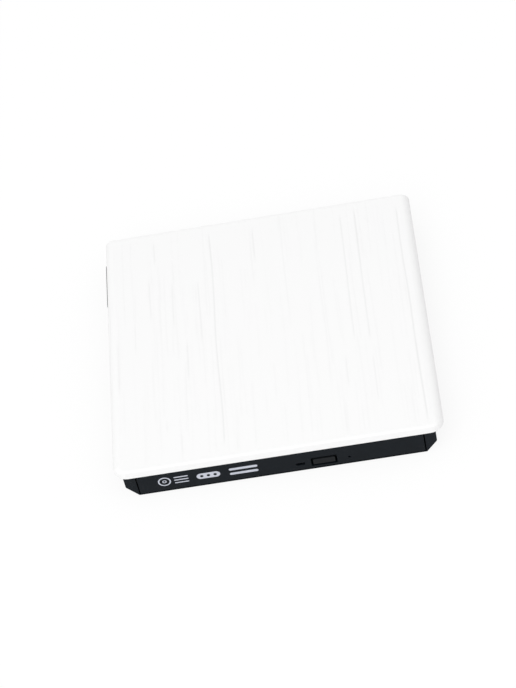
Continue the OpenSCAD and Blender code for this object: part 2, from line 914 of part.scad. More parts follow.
module tray_plan(inset) {
    r = 10 - inset;
    hw = tray_hw - inset;
    translate([-hw, tray_front + inset]) square([2 * hw, tray_rear - tray_front - inset - 10]);
    translate([-hw + r, tray_front + inset]) square([2 * (hw - r), tray_rear - tray_front - 2 * inset]);
    for (x = [-1, 1]) translate([x * (hw - r), tray_rear - 10]) circle(r);
}

// Plan of the two notches at the back where a finger lifts the disc
module finger_notches(grow) {
    both_sides() translate([0, disc_y]) rotate(45) translate([recess_r + 1, 0]) circle(notch_r + grow);
}

// Hollows under the four corners, outside the disc and the notches
module tray_corner_hollows() {
    translate([0, 0, tray_under - 1]) linear_extrude(rim_top - tray_wall - tray_under + 1) difference() {
        tray_plan(tray_wall);
        translate([0, disc_y]) circle(recess_r + tray_wall);
        finger_notches(tray_wall);
        translate([-lamp_x - 3, tray_front]) square([2 * lamp_x + 6, tray_rear - tray_front]);
    }
}

module tray_skirt() {
    difference() {
        block([skirt_in, tray_front, skirt_bottom], [skirt_out, tray_rear - 10, tray_under + 0.1]);
        block(
            [web_in - rail_reach - 0.75, tray_front + front_wall, rail_high - rail_t - rail_slip],
            [skirt_out + 1, tray_rear, rail_high + rail_slip]
        );
    }
}

module tray_posts() {
    in_traverse() for (e = ears)
        translate([e[0], e[1], 0]) post(damper_post_r, damper_post_bottom, tray_under + 0.1);
    translate([latch_x, latch_y, 0])
        post(latch_pin_r, latch_z - 0.2, rim_top - tray_wall + 0.1);
    for (x = [button_board_left + 2, button_board_right - 2])
        translate([x, button_board_back - 2, 0]) post(1.2, button_board_top, tray_under + 0.1);
    block(
        [eject_x - 6, eject_rib_y, skirt_bottom],
        [eject_x + 6, eject_rib_y + eject_rib_t, tray_under + 0.1]
    );
}

module tray() {
    pocket_hw = button_w / 2 + button_flange_lap + 0.4;
    pocket_top = control_z + button_h / 2 + button_flange_lap + 0.4;
    wall_back = tray_front + front_wall;
    color(plastic_black) difference() {
        union() {
            difference() {
                translate([0, 0, tray_under]) linear_extrude(rim_top - tray_under) tray_plan(0);
                translate([0, disc_y, 0]) post(recess_r, tray_floor, rim_top + 1);
                tray_corner_hollows();
            }
            both_sides() tray_skirt();
            block([-skirt_out, tray_front, skirt_bottom], [skirt_out, wall_back, tray_under + 0.1]);
            tray_posts();
        }
        in_traverse() translate([0, 0, skirt_bottom - 1])
            linear_extrude(tunnel_top - skirt_bottom + 1) traverse_outline(window_gap);
        in_traverse() for (e = ears)
            translate([e[0], e[1], 0]) post(damper_screw_r + seat, 0, tray_under + 0.2);
        translate([0, 0, tray_floor]) linear_extrude(rim_top - tray_floor + 1) finger_notches(0);
        block(
            [button_x - pocket_hw, tray_front - 1, skirt_bottom - 1],
            [button_x + pocket_hw, wall_back + 0.1, pocket_top]
        );
        block(
            [lamp_x - lamp_w / 2 - 0.3, tray_front - 1, control_z - lamp_h / 2 - 0.3],
            [lamp_x + lamp_w / 2 + 0.3, wall_back + 1, control_z + lamp_h / 2 + 0.3]
        );
        translate([pinhole_x, 0, control_z]) bar_y(pinhole_d / 2 + 0.3, tray_front - 1, wall_back + 1);
        both_sides() block(
            [clip_x - clip_w / 2 - 0.2, tray_front - 1, clip_z - 0.2],
            [clip_x + clip_w / 2 + 0.2, wall_back + 1, clip_z + clip_h + clip_barb + 0.2]
        );
    }
}

// Lamp slot: straight sides that draw in to a point at the left
module lamp_outline(grow) {
    w = lamp_w / 2 + grow;
    h = lamp_h / 2 + grow;
    polygon([[-w, 0], [-w + 1.1, h], [w, h], [w - 0.4, -h], [-w + 1.1, -h]]);
}

// Opening for the button, with the extra room above it
module button_opening() {
    h = button_h + 2 * button_gap + button_headroom;
    translate([0, button_headroom / 2]) rounded_rect(button_w + 2 * button_gap, h, button_corner);
}

// Bezel with rounded front edges and two spring clips into the tray
module front_bezel() {
    edge = 0.4;
    h = bezel_top - bezel_bottom;
    color(housing_black) difference() {
        union() {
            along_x(-bezel_hw, bezel_hw) {
                translate([bezel_front + edge, bezel_bottom]) square([bezel_t - edge, h]);
                translate([bezel_front, bezel_bottom + edge]) square([bezel_t, h - 2 * edge]);
                for (z = [bezel_bottom + edge, bezel_top - edge])
                    translate([bezel_front + edge, z]) circle(edge);
            }
            both_sides() {
                block(
                    [clip_x - clip_w / 2, bezel_back - 0.1, clip_z],
                    [clip_x + clip_w / 2, tray_front + front_wall + 1.6, clip_z + clip_h]
                );
                along_x(clip_x - clip_w / 2, clip_x + clip_w / 2) polygon([
                    [tray_front + tray_wall + 0.1, clip_z + clip_h - 0.1],
                    [tray_front + tray_wall + 0.1, clip_z + clip_h + clip_barb],
                    [tray_front + front_wall + 1.6, clip_z + clip_h - 0.1]
                ]);
            }
        }
        along_y(bezel_front - 1, bezel_back + 1) {
            translate([button_x, control_z]) button_opening();
            translate([lamp_x, control_z]) lamp_outline(slip);
        }
        translate([pinhole_x, 0, control_z]) bar_y(pinhole_d / 2, bezel_front - 1, bezel_back + 1);
    }
}

// Clear light pipe from the lamp on the button board to the slot
module led_window() {
    pipe_end = button_board_front + 1;
    color([0.75, 0.85, 0.80]) translate([lamp_x, 0, control_z])
        along_y(bezel_front + lamp_sink, pipe_end) lamp_outline(0);
}

module button_board() {
    color(board_green) {
        block(
            [button_board_left, button_board_front, button_board_top - button_board_t],
            [button_board_right, button_board_back, button_board_top]
        );
        block(
            [lamp_x - 0.8, button_board_front + 1.1, button_board_top],
            [lamp_x + 0.8, button_board_front + 2.1, control_z + lamp_h / 2]
        );
    }
}

// Push switch behind the button's stem
module eject_switch() {
    color(dark_steel) {
        block(
            [button_x - 2.2, switch_front, button_board_top],
            [button_x + 2.2, switch_front + 3, control_z + 0.7]
        );
        translate([button_x, 0, control_z]) bar_y(0.5, switch_front - 0.5, switch_front + 0.1);
    }
}

module eject_button() {
    flange_low = pan_top + 0.45;
    flange_hw = button_w / 2 + button_flange_lap;
    flange_y = bezel_back + 0.1;
    stem_end = switch_front - 0.5 - button_travel - slip;
    color([0.20, 0.19, 0.19]) {
        translate([button_x, 0, control_z]) along_y(bezel_front + button_sink, flange_y + 0.1)
            rounded_rect(button_w, button_h, button_corner);
        block(
            [button_x - flange_hw, flange_y, flange_low],
            [button_x + flange_hw, flange_y + button_flange_t, control_z + button_h / 2 + button_flange_lap]
        );
        block(
            [button_x - button_stem_w / 2, flange_y, control_z - button_stem_h / 2],
            [button_x + button_stem_w / 2, stem_end, control_z + button_stem_h / 2]
        );
    }
}

// Flat coil that pulls the latch lever's tail
module solenoid() {
    left = latch_x - 18.5;
    face = latch_y + latch_arm / 2 + 1;
    low = skirt_bottom;
    color([0.55, 0.30, 0.15]) {
        block([left, face, low], [left + solenoid_w, face + solenoid_d, tray_under]);
        translate([left + solenoid_w / 2, 0, latch_z + latch_t / 2])
            bar_y(0.5, latch_y + latch_arm / 2 + panel_gap, face + 0.1);
    }
}

// Lever on the tray: hub, hook arm to the back and a long tail behind the pinhole
module latch_lever() {
    tail = latch_x - pinhole_x + 1.2;
    hw = latch_arm / 2;
    color(dark_steel) translate([latch_x, latch_y, latch_z]) linear_extrude(latch_t) difference() {
        union() {
            circle(latch_hub_r);
            translate([-hw, 0]) square([latch_arm, tooth_out]);
            translate([-tooth_tip, tooth_in]) square([tooth_tip, tooth_out - tooth_in]);
            translate([-tail, -hw]) square([tail, latch_arm]);
        }
        circle(latch_pin_r + slip);
    }
}

module flex_connector() {
    color([0.9, 0.88, 0.8]) block(
        [flex_left - 1, flex_end_y, flex_high],
        [flex_left + flex_w + 1, flex_end_y + flex_connector_d, tray_under]
    );
}

// Traverse

module traverse_ear(e) {
    inner = [max(min(e[0], frame_u1), frame_u0), max(min(e[1], frame_v1), frame_v0)];
    out = norm(e - inner);
    translate([e[0], e[1], 0]) {
        post(ear_r, ear_z, ear_z + ear_t);
        rotate([0, 0, atan2(inner[1] - e[1], inner[0] - e[0])])
            block([0, -ear_r, ear_z], [out + 1, ear_r, ear_z + ear_t]);
    }
}

module traverse_opening() {
    difference() {
        intersection() {
            union() {
                translate([open_u0, -rod_v + 1.5]) square([open_u1 - open_u0, 2 * rod_v - 3]);
                translate([open_u0, open_v0]) square([rod_end_u - open_u0, open_v1 - open_v0]);
            }
            traverse_clip(frame_rim);
        }
        circle(well_r);
    }
}

// Cast frame with a round well for the spindle motor and seats for the rods
module traverse_frame() {
    color(dark_steel) in_traverse() difference() {
        union() {
            translate([0, 0, frame_bottom]) linear_extrude(frame_top - frame_bottom) difference() {
                traverse_outline(0);
                traverse_opening();
            }
            for (e = ears) traverse_ear(e);
        }
        post(well_r, platform_top, frame_top + 1);
        post(bearing_r + seat, frame_bottom - 1, platform_top + 1);
        for (e = ears) translate([e[0], e[1], 0]) post(ear_hole_r, 0, frame_top);
        for (v = [-rod_v, rod_v]) translate([0, v, axis_z])
            bar_x(rod_d / 2 + seat, open_u0 - rod_seat - 0.1, rod_end_u + rod_seat + 0.1);
        translate([0, screw_v, axis_z]) bar_x(screw_shaft_r + slip, rod_end_u - 1, rod_end_u + 1.7);
    }
}

// Plan of the room that the sled motor needs in both sheets
module motor_window() {
    translate([open_u0 - 0.3, screw_v - motor_r - 0.4]) square([motor_l + 0.9, 2 * motor_r + 0.8]);
}

// Sheet cover that fills the tray's window, open round the spindle and along the lens's path
module traverse_cover() {
    color(dark_steel) in_traverse() translate([0, 0, frame_top]) linear_extrude(cover_sheet_t) difference() {
        traverse_outline(window_gap - panel_gap);
        circle(turntable_d / 2 + 0.8);
        translate([lens_r0 - 8, -slot_hw]) square([open_u1 - lens_r0 + 8, 2 * slot_hw]);
        motor_window();
    }
}

// Thin sheet that closes the frame from below, except under the motor
module traverse_shield() {
    low = frame_bottom - shield_t;
    color(dark_steel) in_traverse() translate([0, 0, low]) linear_extrude(shield_t) difference() {
        traverse_outline(-0.5);
        motor_window();
    }
}

// Rubber bushes in the ears, on the tray's posts
module damper_bushes() {
    r_in = damper_post_r + 0.1;
    r_out = ear_hole_r + 0.8;
    waist = ear_hole_r - slip;
    low = damper_post_bottom;
    high = tray_under - slip;
    under = ear_z - slip;
    over = ear_z + ear_t + slip;
    color(rubber_black) in_traverse() for (e = ears) translate([e[0], e[1], 0]) rotate_extrude() polygon([
        [r_in, low], [r_out, low], [r_out, under], [waist, under], [waist, over], [r_out, over],
        [r_out, high], [r_in, high]
    ]);
}

module damper_screws() {
    head_h = 0.45;
    color(steel) in_traverse() for (e = ears) translate([e[0], e[1], 0]) {
        post(2.2, damper_post_bottom - head_h, damper_post_bottom);
        post(damper_screw_r, damper_post_bottom - 0.1, tray_under - 0.2);
    }
}

module guide_rods() {
    color(steel) in_traverse() for (v = [-rod_v, rod_v])
        translate([0, v, axis_z]) bar_x(rod_d / 2, open_u0 - rod_seat, rod_end_u + rod_seat);
}

module sled_motor() {
    color(steel) in_traverse() translate([0, screw_v, axis_z]) difference() {
        union() {
            bar_x(motor_r, open_u0, motor_end);
            bar_x(motor_r / 2, motor_end - 0.1, motor_end + motor_boss_l);
        }
        bar_x(screw_shaft_r + slip, motor_end - 3, motor_end + 1);
    }
}

module lead_screw() {
    start = motor_end + motor_boss_l + 0.1;
    end = rod_end_u - 0.1;
    color(steel) in_traverse() translate([0, screw_v, axis_z]) {
        bar_x(screw_shaft_r, motor_end - 2.9, start + 0.1);
        bar_x(screw_d / 2, start, end);
        bar_x(screw_shaft_r, end - 0.1, end + 1.6);
    }
}

// Spindle

module at_spindle() {
    translate([0, disc_y, 0]) children();
}

module spindle_plate() {
    color(steel) at_spindle() difference() {
        post(well_r - 0.2, platform_top, platform_top + spindle_plate_t);
        post(bearing_r + seat, 0, disc_z);
    }
}

module spindle_bearing() {
    color([0.75, 0.6, 0.35]) at_spindle() difference() {
        post(bearing_r, frame_bottom, bearing_top);
        post(shaft_d / 2 + slip / 2, frame_bottom + 0.3, bearing_top + 1);
    }
}

// Stator: a ring on the bearing with one wound pole after another
module stator() {
    pole_w = 2.2;
    ring_r = bearing_r + 1.6;
    color([0.60, 0.35, 0.18]) at_spindle() difference() {
        union() {
            post(ring_r, stator_bottom, stator_bottom + stator_t);
            for (k = [0:stator_poles - 1]) rotate([0, 0, 360 * k / stator_poles]) {
                block(
                    [ring_r - 0.5, -pole_w / 2, stator_bottom + 0.1],
                    [stator_r - 0.5, pole_w / 2, stator_bottom + stator_t - 0.1]
                );
                intersection() {
                    difference() {
                        post(stator_r, stator_bottom + 0.2, stator_bottom + stator_t - 0.2);
                        post(stator_r - 0.9, 0, disc_z);
                    }
                    block([0, -pole_w * 0.8, 0], [stator_r + 1, pole_w * 0.8, disc_z]);
                }
            }
        }
        post(bearing_r + seat, 0, disc_z);
    }
}

module spindle_shaft() {
    color(steel) at_spindle() post(shaft_d / 2, frame_bottom + 0.4, disc_z + 0.6);
}

// Rotor cup and turntable in one turning
module turntable() {
    bore = shaft_d / 2 + seat;
    roof = turntable_top - turntable_t - cup_roof_t;
    color(steel) at_spindle() rotate_extrude() polygon([
        [bore, roof], [cup_r - cup_t, roof], [cup_r - cup_t, cup_bottom], [cup_r, cup_bottom],
        [cup_r, turntable_top - turntable_t], [turntable_d / 2, turntable_top - turntable_t],
        [turntable_d / 2, turntable_top], [bore, turntable_top]
    ]);
}

module turntable_pad() {
    r = turntable_d / 2 - 0.4;
    color(rubber_black) at_spindle() rotate_extrude()
        translate([r - pad_w, turntable_top]) square([pad_w, pad_t]);
}

// Places for the three claws round the hub
module at_claws() {
    at_spindle() for (a = [30, 150, 270]) rotate([0, 0, a]) children();
}

module centre_hub() {
    r = hub_d / 2;
    shoulder = disc_z + hub_h;
    top = shoulder + hub_cone_h;
    bore = shaft_d / 2 + seat;
    dish_r = 3;
    color(plastic_black) difference() {
        at_spindle() rotate_extrude() polygon([
            [bore, turntable_top], [r, turntable_top], [r, shoulder], [hub_cone_r, top], [dish_r, top],
            [dish_r, top - 0.4], [0, top - 0.4], [0, disc_z + 0.7], [bore, disc_z + 0.7]
        ]);
        at_claws() block(
            [r - claw_depth - 0.1, -claw_w / 2 - 0.15, claw_seat_z],
            [r + 1, claw_w / 2 + 0.15, top + 1]
        );
    }
}

module hub_claws() {
    r = hub_d / 2;
    shoulder = disc_z + hub_h;
    color([0.80, 0.80, 0.78]) at_claws() along_y(-claw_w / 2, claw_w / 2) polygon([
        [r - claw_depth, claw_seat_z], [r - 0.1, claw_seat_z], [r - 0.1, shoulder - 0.2],
        [r - claw_depth + 0.4, shoulder + 0.3], [r - claw_depth, shoulder + 0.3]
    ]);
}

// Pickup

module pickup_plan() {
    cut = pickup_hw - pickup_nose_hw;
    difference() {
        polygon([
            [-pickup_back, -pickup_hw], [pickup_nose - cut, -pickup_hw], [pickup_nose, -pickup_nose_hw],
            [pickup_nose, pickup_nose_hw], [pickup_nose - cut, pickup_hw], [-pickup_back, pickup_hw]
        ]);
        translate([-lens_r0, 0]) circle(pickup_spindle_r);
        circle(lens_d / 2 + 0.4);
    }
}

module rod_bush(span, side) {
    v = side * rod_v;
    inner = side * (pickup_hw - 0.1);
    outer = side * (rod_v + bush_reach);
    block(
        [span[0], min(inner, outer), pickup_bottom],
        [span[1], max(inner, outer), pickup_top]
    );
}

module pickup_body() {
    color(dark_steel) at_lens() difference() {
        union() {
            translate([0, 0, pickup_bottom]) linear_extrude(pickup_top - pickup_bottom) pickup_plan();
            rod_bush(main_bush_u, 1);
            rod_bush(side_bush_u, -1);
        }
        for (v = [-rod_v, rod_v]) translate([0, v, axis_z]) bar_x(rod_d / 2 + slip, -lens_r0, lens_r0);
        for (v = [-11, 11]) translate([-4, v, pickup_bottom - 1]) linear_extrude(1.8) rounded_rect(7, 4, 1);
    }
}

// Half nut beside the lead screw, hollowed to hug it
module lead_follower() {
    near = rod_v + bush_reach;
    color([0.85, 0.85, 0.8]) at_lens() difference() {
        block([follower_u[0], near, pickup_bottom], [follower_u[1], screw_v - follower_gap, pickup_top]);
        translate([0, screw_v, axis_z]) bar_x(screw_d / 2 + slip, -lens_r0, lens_r0);
    }
}

module focus_magnets() {
    near = holder_hu + 0.5;
    color(steel) at_lens() for (side = [-1, 1]) block(
        [min(side * near, side * (near + magnet_t)), -magnet_hv, pickup_top],
        [max(side * near, side * (near + magnet_t)), magnet_hv, pickup_top + magnet_h]
    );
}

module lens_holder() {
    low = pickup_top + holder_gap;
    color(plastic_black) at_lens() difference() {
        translate([0, 0, low]) linear_extrude(holder_h) rounded_rect(2 * holder_hu, 2 * holder_hv, 1);
        post(lens_d / 2 + seat, low + 0.3, low + holder_h + 1);
        post(lens_d / 2 - 0.4, low - 1, low + holder_h);
    }
}

module objective_lens() {
    low = pickup_top + holder_gap + 0.3;
    edge = pickup_top + holder_gap + holder_h - 0.1;
    r = lens_d / 2;
    crown = (r * r + lens_rise * lens_rise) / (2 * lens_rise);
    color([0.55, 0.65, 0.85]) at_lens() {
        post(r, low, edge);
        intersection() {
            translate([0, 0, edge + lens_rise - crown]) sphere(crown);
            post(r, edge - 0.1, edge + 1);
        }
    }
}

top_cover();
base_shell();
rubber_feet();
housing_screws();
port_hood();
usb_shell();
usb_tongue();
bridge_board();
bridge_chips();
sata_coupler();
drive_pan();
drive_lid();
left_rail_guide();
right_rail_guide();
drive_board();
drive_chips();
sata_plug();
latch_post();
ejector_bracket();
flex_cable();
ejector_rod();
ejector_spring();
left_rail();
right_rail();
tray();
front_bezel();
led_window();
button_board();
eject_switch();
solenoid();
flex_connector();
traverse_frame();
traverse_cover();
traverse_shield();
damper_bushes();
damper_screws();
guide_rods();
sled_motor();
spindle_plate();
spindle_bearing();
stator();
eject_button();
spindle_shaft();
turntable();
turntable_pad();
centre_hub();
hub_claws();
pickup_body();
lead_follower();
focus_magnets();
lens_holder();
objective_lens();
lead_screw();
latch_lever();
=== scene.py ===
# %% [markdown]
# # A slim disc drive, dressed for its portrait
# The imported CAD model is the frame: its solids, bodies and joints are already in place, in metres.
# This lesson adds what a solid modeller leaves out: the grain moulded into the pale cover, softened
# edges, threads and wire, film, ink, and a finish for each real material.

# %% Load the frame
import json
import math

import bmesh
import bpy
import numpy as np
from mathutils import Matrix, Vector
from mathutils.geometry import convex_hull_2d

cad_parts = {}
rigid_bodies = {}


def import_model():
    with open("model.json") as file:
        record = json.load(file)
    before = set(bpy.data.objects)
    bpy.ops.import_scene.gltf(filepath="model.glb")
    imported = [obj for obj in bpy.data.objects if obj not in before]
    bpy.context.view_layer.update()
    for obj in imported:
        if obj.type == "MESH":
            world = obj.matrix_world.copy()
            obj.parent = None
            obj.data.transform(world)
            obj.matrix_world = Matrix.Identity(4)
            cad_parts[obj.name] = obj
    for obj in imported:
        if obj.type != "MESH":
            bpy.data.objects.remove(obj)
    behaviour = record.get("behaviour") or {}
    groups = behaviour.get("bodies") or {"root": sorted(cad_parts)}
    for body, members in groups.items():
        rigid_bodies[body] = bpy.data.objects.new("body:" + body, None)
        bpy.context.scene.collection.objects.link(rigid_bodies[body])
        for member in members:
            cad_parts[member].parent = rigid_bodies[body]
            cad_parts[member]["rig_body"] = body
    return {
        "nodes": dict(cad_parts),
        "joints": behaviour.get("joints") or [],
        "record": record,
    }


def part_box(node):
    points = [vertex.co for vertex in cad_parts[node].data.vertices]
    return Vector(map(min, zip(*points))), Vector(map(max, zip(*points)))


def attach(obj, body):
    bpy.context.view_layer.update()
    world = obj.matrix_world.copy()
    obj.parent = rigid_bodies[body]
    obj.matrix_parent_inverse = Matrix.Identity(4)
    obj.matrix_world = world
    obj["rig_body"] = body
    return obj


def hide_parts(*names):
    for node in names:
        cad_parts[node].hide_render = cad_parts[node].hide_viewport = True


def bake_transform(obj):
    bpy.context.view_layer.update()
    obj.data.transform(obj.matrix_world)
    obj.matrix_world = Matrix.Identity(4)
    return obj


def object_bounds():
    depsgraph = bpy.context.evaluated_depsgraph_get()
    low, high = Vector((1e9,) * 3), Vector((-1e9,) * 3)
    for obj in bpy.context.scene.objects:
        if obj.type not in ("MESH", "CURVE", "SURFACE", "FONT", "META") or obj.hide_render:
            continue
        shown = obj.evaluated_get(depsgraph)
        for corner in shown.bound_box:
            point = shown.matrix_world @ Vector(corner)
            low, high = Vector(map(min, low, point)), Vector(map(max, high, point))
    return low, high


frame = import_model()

MM = 0.001
cad_low, cad_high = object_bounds()
joints = {joint["name"]: joint for joint in frame["joints"]}
print("size in mm:", [round(side / MM, 1) for side in cad_high - cad_low])

# %% [markdown]
# ## Camera
# The photograph was taken from in front and above, a little to the right, with the camera tilted.
# A camera could be aimed by eye, but straight edges of known length fix it: the bezel's corners and
# the cover's outline give one place, one direction and one focal length, which are written here.

# %% Camera at the photograph's viewing angle
VIEW_AZIMUTH = math.radians(6.374)
VIEW_ELEVATION = math.radians(48.109)
VIEW_ROLL = math.radians(-13.65)
VIEW_PLACE = Vector((73.09, -700.45, 794.44)) * MM
LENS_MM = 119.55
NEAR_LIMIT = 0.01

back = Vector((
    math.sin(VIEW_AZIMUTH) * math.cos(VIEW_ELEVATION),
    -math.cos(VIEW_AZIMUTH) * math.cos(VIEW_ELEVATION),
    math.sin(VIEW_ELEVATION),
))
level = Vector((math.cos(VIEW_AZIMUTH), math.sin(VIEW_AZIMUTH), 0))
right = math.cos(VIEW_ROLL) * level + math.sin(VIEW_ROLL) * back.cross(level)
turn = Matrix((right, back.cross(right), back)).transposed()

camera_data = bpy.data.cameras.new("camera")
camera_data.lens = LENS_MM
camera_data.clip_start = NEAR_LIMIT
camera = bpy.data.objects.new("camera", camera_data)
camera.matrix_world = Matrix.Translation(VIEW_PLACE) @ turn.to_4x4()
bpy.context.scene.collection.objects.link(camera)
bpy.context.scene.camera = camera
print("camera looks along", [round(value, 3) for value in -back])

# %% [markdown]
# ## Colours and shader nodes
# Colours are easiest to judge as sRGB hex values, but Blender shades with linear light, so one
# function converts them. One more adds a node with its settings and links. The others are small
# recipes made with it: a random pattern of a real size, two close tones, uneven gloss and relief.

# %% Tools for finishes
PATTERN_MIDDLE = (0.3, 0.7)


def srgb(code):
    """Linear colour of an sRGB hex code: below 0.04045 divide by 12.92, above it a 2.4 power curve."""
    value = np.array([int(code[i:i + 2], 16) for i in (1, 3, 5)]) / 255
    linear = np.where(value <= 0.04045, value / 12.92, ((value + 0.055) / 1.055) ** 2.4)
    return (*linear.tolist(), 1.0)


def add(tree, kind, inputs=None, **settings):
    """Adds a node: settings are its own properties, and each input is a value or a socket to link."""
    node = tree.nodes.new(kind)
    for name, value in settings.items():
        setattr(node, name, value)
    for key, value in (inputs or {}).items():
        if isinstance(value, bpy.types.NodeSocket):
            tree.links.new(value, node.inputs[key])
        else:
            node.inputs[key].default_value = value
    return node


def start_finish(name, colour, roughness, **sockets):
    """Starts a material: one principled shader with its constant values on its own sockets."""
    material = bpy.data.materials.new(name)
    material.use_nodes = True
    tree = material.node_tree
    shader = tree.nodes["Principled BSDF"]
    shader.inputs["Base Color"].default_value = srgb(colour)
    shader.inputs["Roughness"].default_value = roughness
    for key, value in sockets.items():
        shader.inputs[key.replace("_", " ")].default_value = value
    return material, tree, shader


def mottle(tree, size_mm, stretch=(1, 1, 1)):
    """A soft random pattern with blobs of size_mm, drawn out along x, y and z by stretch."""
    place = add(tree, "ShaderNodeTexCoord")
    scale = [1 / (size_mm * MM * share) for share in stretch]
    spread = add(tree, "ShaderNodeMapping", {"Vector": place.outputs["Object"], "Scale": scale})
    noise = add(tree, "ShaderNodeTexNoise", {
        "Vector": spread.outputs["Vector"], "Scale": 1.0, "Detail": 2.0})
    return noise.outputs[0]


def two_tone(tree, shader, pattern, dark, light):
    """Base colour that goes from dark to light as the pattern goes from 0 to 1."""
    mix = add(tree, "ShaderNodeMix", {0: pattern, 6: srgb(dark), 7: srgb(light)}, data_type="RGBA")
    tree.links.new(mix.outputs[2], shader.inputs["Base Color"])


def uneven_gloss(tree, shader, pattern, low, high):
    """Roughness from low to high over the middle stretch of the pattern."""
    first, last = PATTERN_MIDDLE
    span = add(tree, "ShaderNodeMapRange", {
        "Value": pattern, "From Min": first, "From Max": last, "To Min": low, "To Max": high})
    tree.links.new(span.outputs[0], shader.inputs["Roughness"])


def relief(tree, shader, pattern, height_mm):
    """Shading of a surface that the pattern raises by up to height_mm."""
    bump = add(tree, "ShaderNodeBump", {"Height": pattern, "Distance": height_mm * MM})
    tree.links.new(bump.outputs[0], shader.inputs["Normal"])


print("white in linear light:", srgb("#FFFFFF"))

# %% [markdown]
# ## Plastics
# Nearly all that shows is injection-moulded ABS. The cover is white with a flat skin, and the housing
# is black with the fine matt skin that spark erosion leaves in a mould. Plain colours would look like
# paint, so each has two close tones, a gloss that wanders a little and a skin of real grit. On the
# cover, the darker tone is painted shade in the grooves of its grain.

# %% Moulded plastics and rubber
PLASTIC_IOR = 1.53
TONE_MM = 9.0
GLOSS_MM = 3.0


def moulded(name, dark, light, grit_mm, grit_height_mm, gloss, **sockets):
    """Moulded plastic: slow change of tone, uneven gloss and an even skin of fine grit."""
    material, tree, shader = start_finish(name, light, gloss[0], IOR=PLASTIC_IOR, **sockets)
    two_tone(tree, shader, mottle(tree, TONE_MM), dark, light)
    uneven_gloss(tree, shader, mottle(tree, GLOSS_MM), *gloss)
    relief(tree, shader, mottle(tree, grit_mm), grit_height_mm)
    return material


# White ABS: a flat skin, with painted shade that makes its grooves a touch greyer.
def moulded_white_abs():
    """White plastic with painted shade in its grooves, driven by the grain attribute, and streaks of gloss
    along the grain.
    """
    material, tree, shader = start_finish("moulded_white_abs", "#F6F6F6", 0.5, IOR=PLASTIC_IOR,
                                          Specular_IOR_Level=0.06)
    groove = add(tree, "ShaderNodeAttribute", attribute_name="grain")
    # Painted shade: the deeper the groove, the greyer the colour.
    two_tone(tree, shader, groove.outputs["Fac"], "#F6F6F6", "#ECECEC")
    streak = mottle(tree, 0.9, stretch=(1, 40, 1))
    uneven_gloss(tree, shader, streak, 0.46, 0.56)
    relief(tree, shader, mottle(tree, 0.5), 0.004)
    return material


# Spark-eroded black ABS: grit of 0.1 mm drawn at 0.45 mm, so that it shows; a soft slate sheen.
black_abs = moulded("spark_eroded_black_abs", "#0B1015", "#11171D", 0.45, 0.02, (0.3, 0.4),
                    Specular_IOR_Level=0.08)
# Button ABS: the same moulding with a finer skin and a lighter grey.
button_abs = moulded("fine_grey_black_abs", "#151719", "#1A1C1F", 0.35, 0.012, (0.4, 0.5),
                     Specular_IOR_Level=0.1)
# Tray ABS: duller than the housing, because it is meant not to reflect into the pickup.
tray_abs = moulded("matt_black_tray_abs", "#161718", "#1D1E20", 0.5, 0.02, (0.5, 0.62),
                   Specular_IOR_Level=0.35)
# Nitrile rubber: almost no gloss, with a dusty bloom in the lighter tone.
rubber = moulded("nitrile_rubber", "#151515", "#242424", 0.6, 0.03, (0.72, 0.85), Specular_IOR_Level=0.3)
# Epoxy chip packages: charcoal grey with a sand-blasted mould skin.
epoxy = moulded("epoxy_chip_package", "#141517", "#1E1F22", 0.3, 0.01, (0.5, 0.6))
# Natural nylon: ivory with a waxy gloss.
nylon = moulded("natural_nylon", "#CFC8B2", "#DDD7C4", 1.2, 0.01, (0.35, 0.45))
# Screen-printed ink: chalky grey with a cool cast, thin enough to look a little uneven.
ink = moulded("pale_grey_print", "#B9BDC9", "#CDD0DB", 0.3, 0.004, (0.55, 0.65))
white_abs = moulded_white_abs()
print("plastics ready")

# %% [markdown]
# ## Metals
# Sheet steel is zinc plated, rods are ground, small levers are blackened and the carriage frame is
# cast. They share full metallic shading with the default index of refraction, and differ in tone,
# in gloss and in the direction of their marks, which is what tells the eye how each was made.

# %% Metals
def worked_metal(name, dark, light, mark_mm, stretch, height_mm, gloss, **sockets):
    """Metal whose tone, gloss and relief all follow the marks left by its making."""
    material, tree, shader = start_finish(name, light, gloss[0], Metallic=1.0, **sockets)
    marks = mottle(tree, mark_mm, stretch)
    two_tone(tree, shader, marks, dark, light)
    uneven_gloss(tree, shader, marks, *gloss)
    relief(tree, shader, marks, height_mm)
    return material


# Zinc-plated sheet: rolling marks 0.4 mm apart run front to back under a soft grey gloss.
zinc_steel = worked_metal("zinc_plated_sheet", "#A3A7AB", "#C4C7CA", 0.4, (1, 60, 1), 0.002, (0.26, 0.4))
# Ground steel: bright and smooth, with only a trace of the wheel.
bright_steel = worked_metal("ground_steel", "#C8CACC", "#DEDFE1", 0.3, (1, 1, 8), 0.001, (0.14, 0.22))
# Black oxide: a thin dark skin that still glints like metal.
black_steel = worked_metal("black_oxide_steel", "#262629", "#37383B", 0.5, (1, 1, 1), 0.003, (0.36, 0.5))
# Die-cast zinc alloy: dull grey with the slight orange peel of the die.
cast_alloy = worked_metal("die_cast_zinc", "#85888C", "#A2A5A9", 0.8, (1, 1, 1), 0.02, (0.42, 0.56))
# Sintered bronze: pressed from powder, so it is speckled and never polished.
bronze = worked_metal("sintered_bronze", "#8E6B3C", "#B88F58", 0.25, (1, 1, 1), 0.01, (0.4, 0.55))
# Tinned switch steel: bright but scuffed.
tinned_steel = worked_metal("tinned_steel", "#9C9EA1", "#BFC1C4", 0.6, (1, 1, 1), 0.003, (0.25, 0.38))
# Gold flash on contacts: a thin, warm, smooth plating.
gold_flash = worked_metal("gold_flash", "#C39A45", "#DDB765", 0.4, (6, 1, 1), 0.001, (0.18, 0.28))
print("metals ready")

# %% [markdown]
# ## Boards, wire, film and optics
# These carry a pattern that follows how they are laid out: copper tracks under a green mask, wire
# laid turn by turn, parallel conductors in a flat cable. A wave along one axis with the real pitch
# draws each of them. The lamp's light pipe and the lens are clear, so they get transmission.

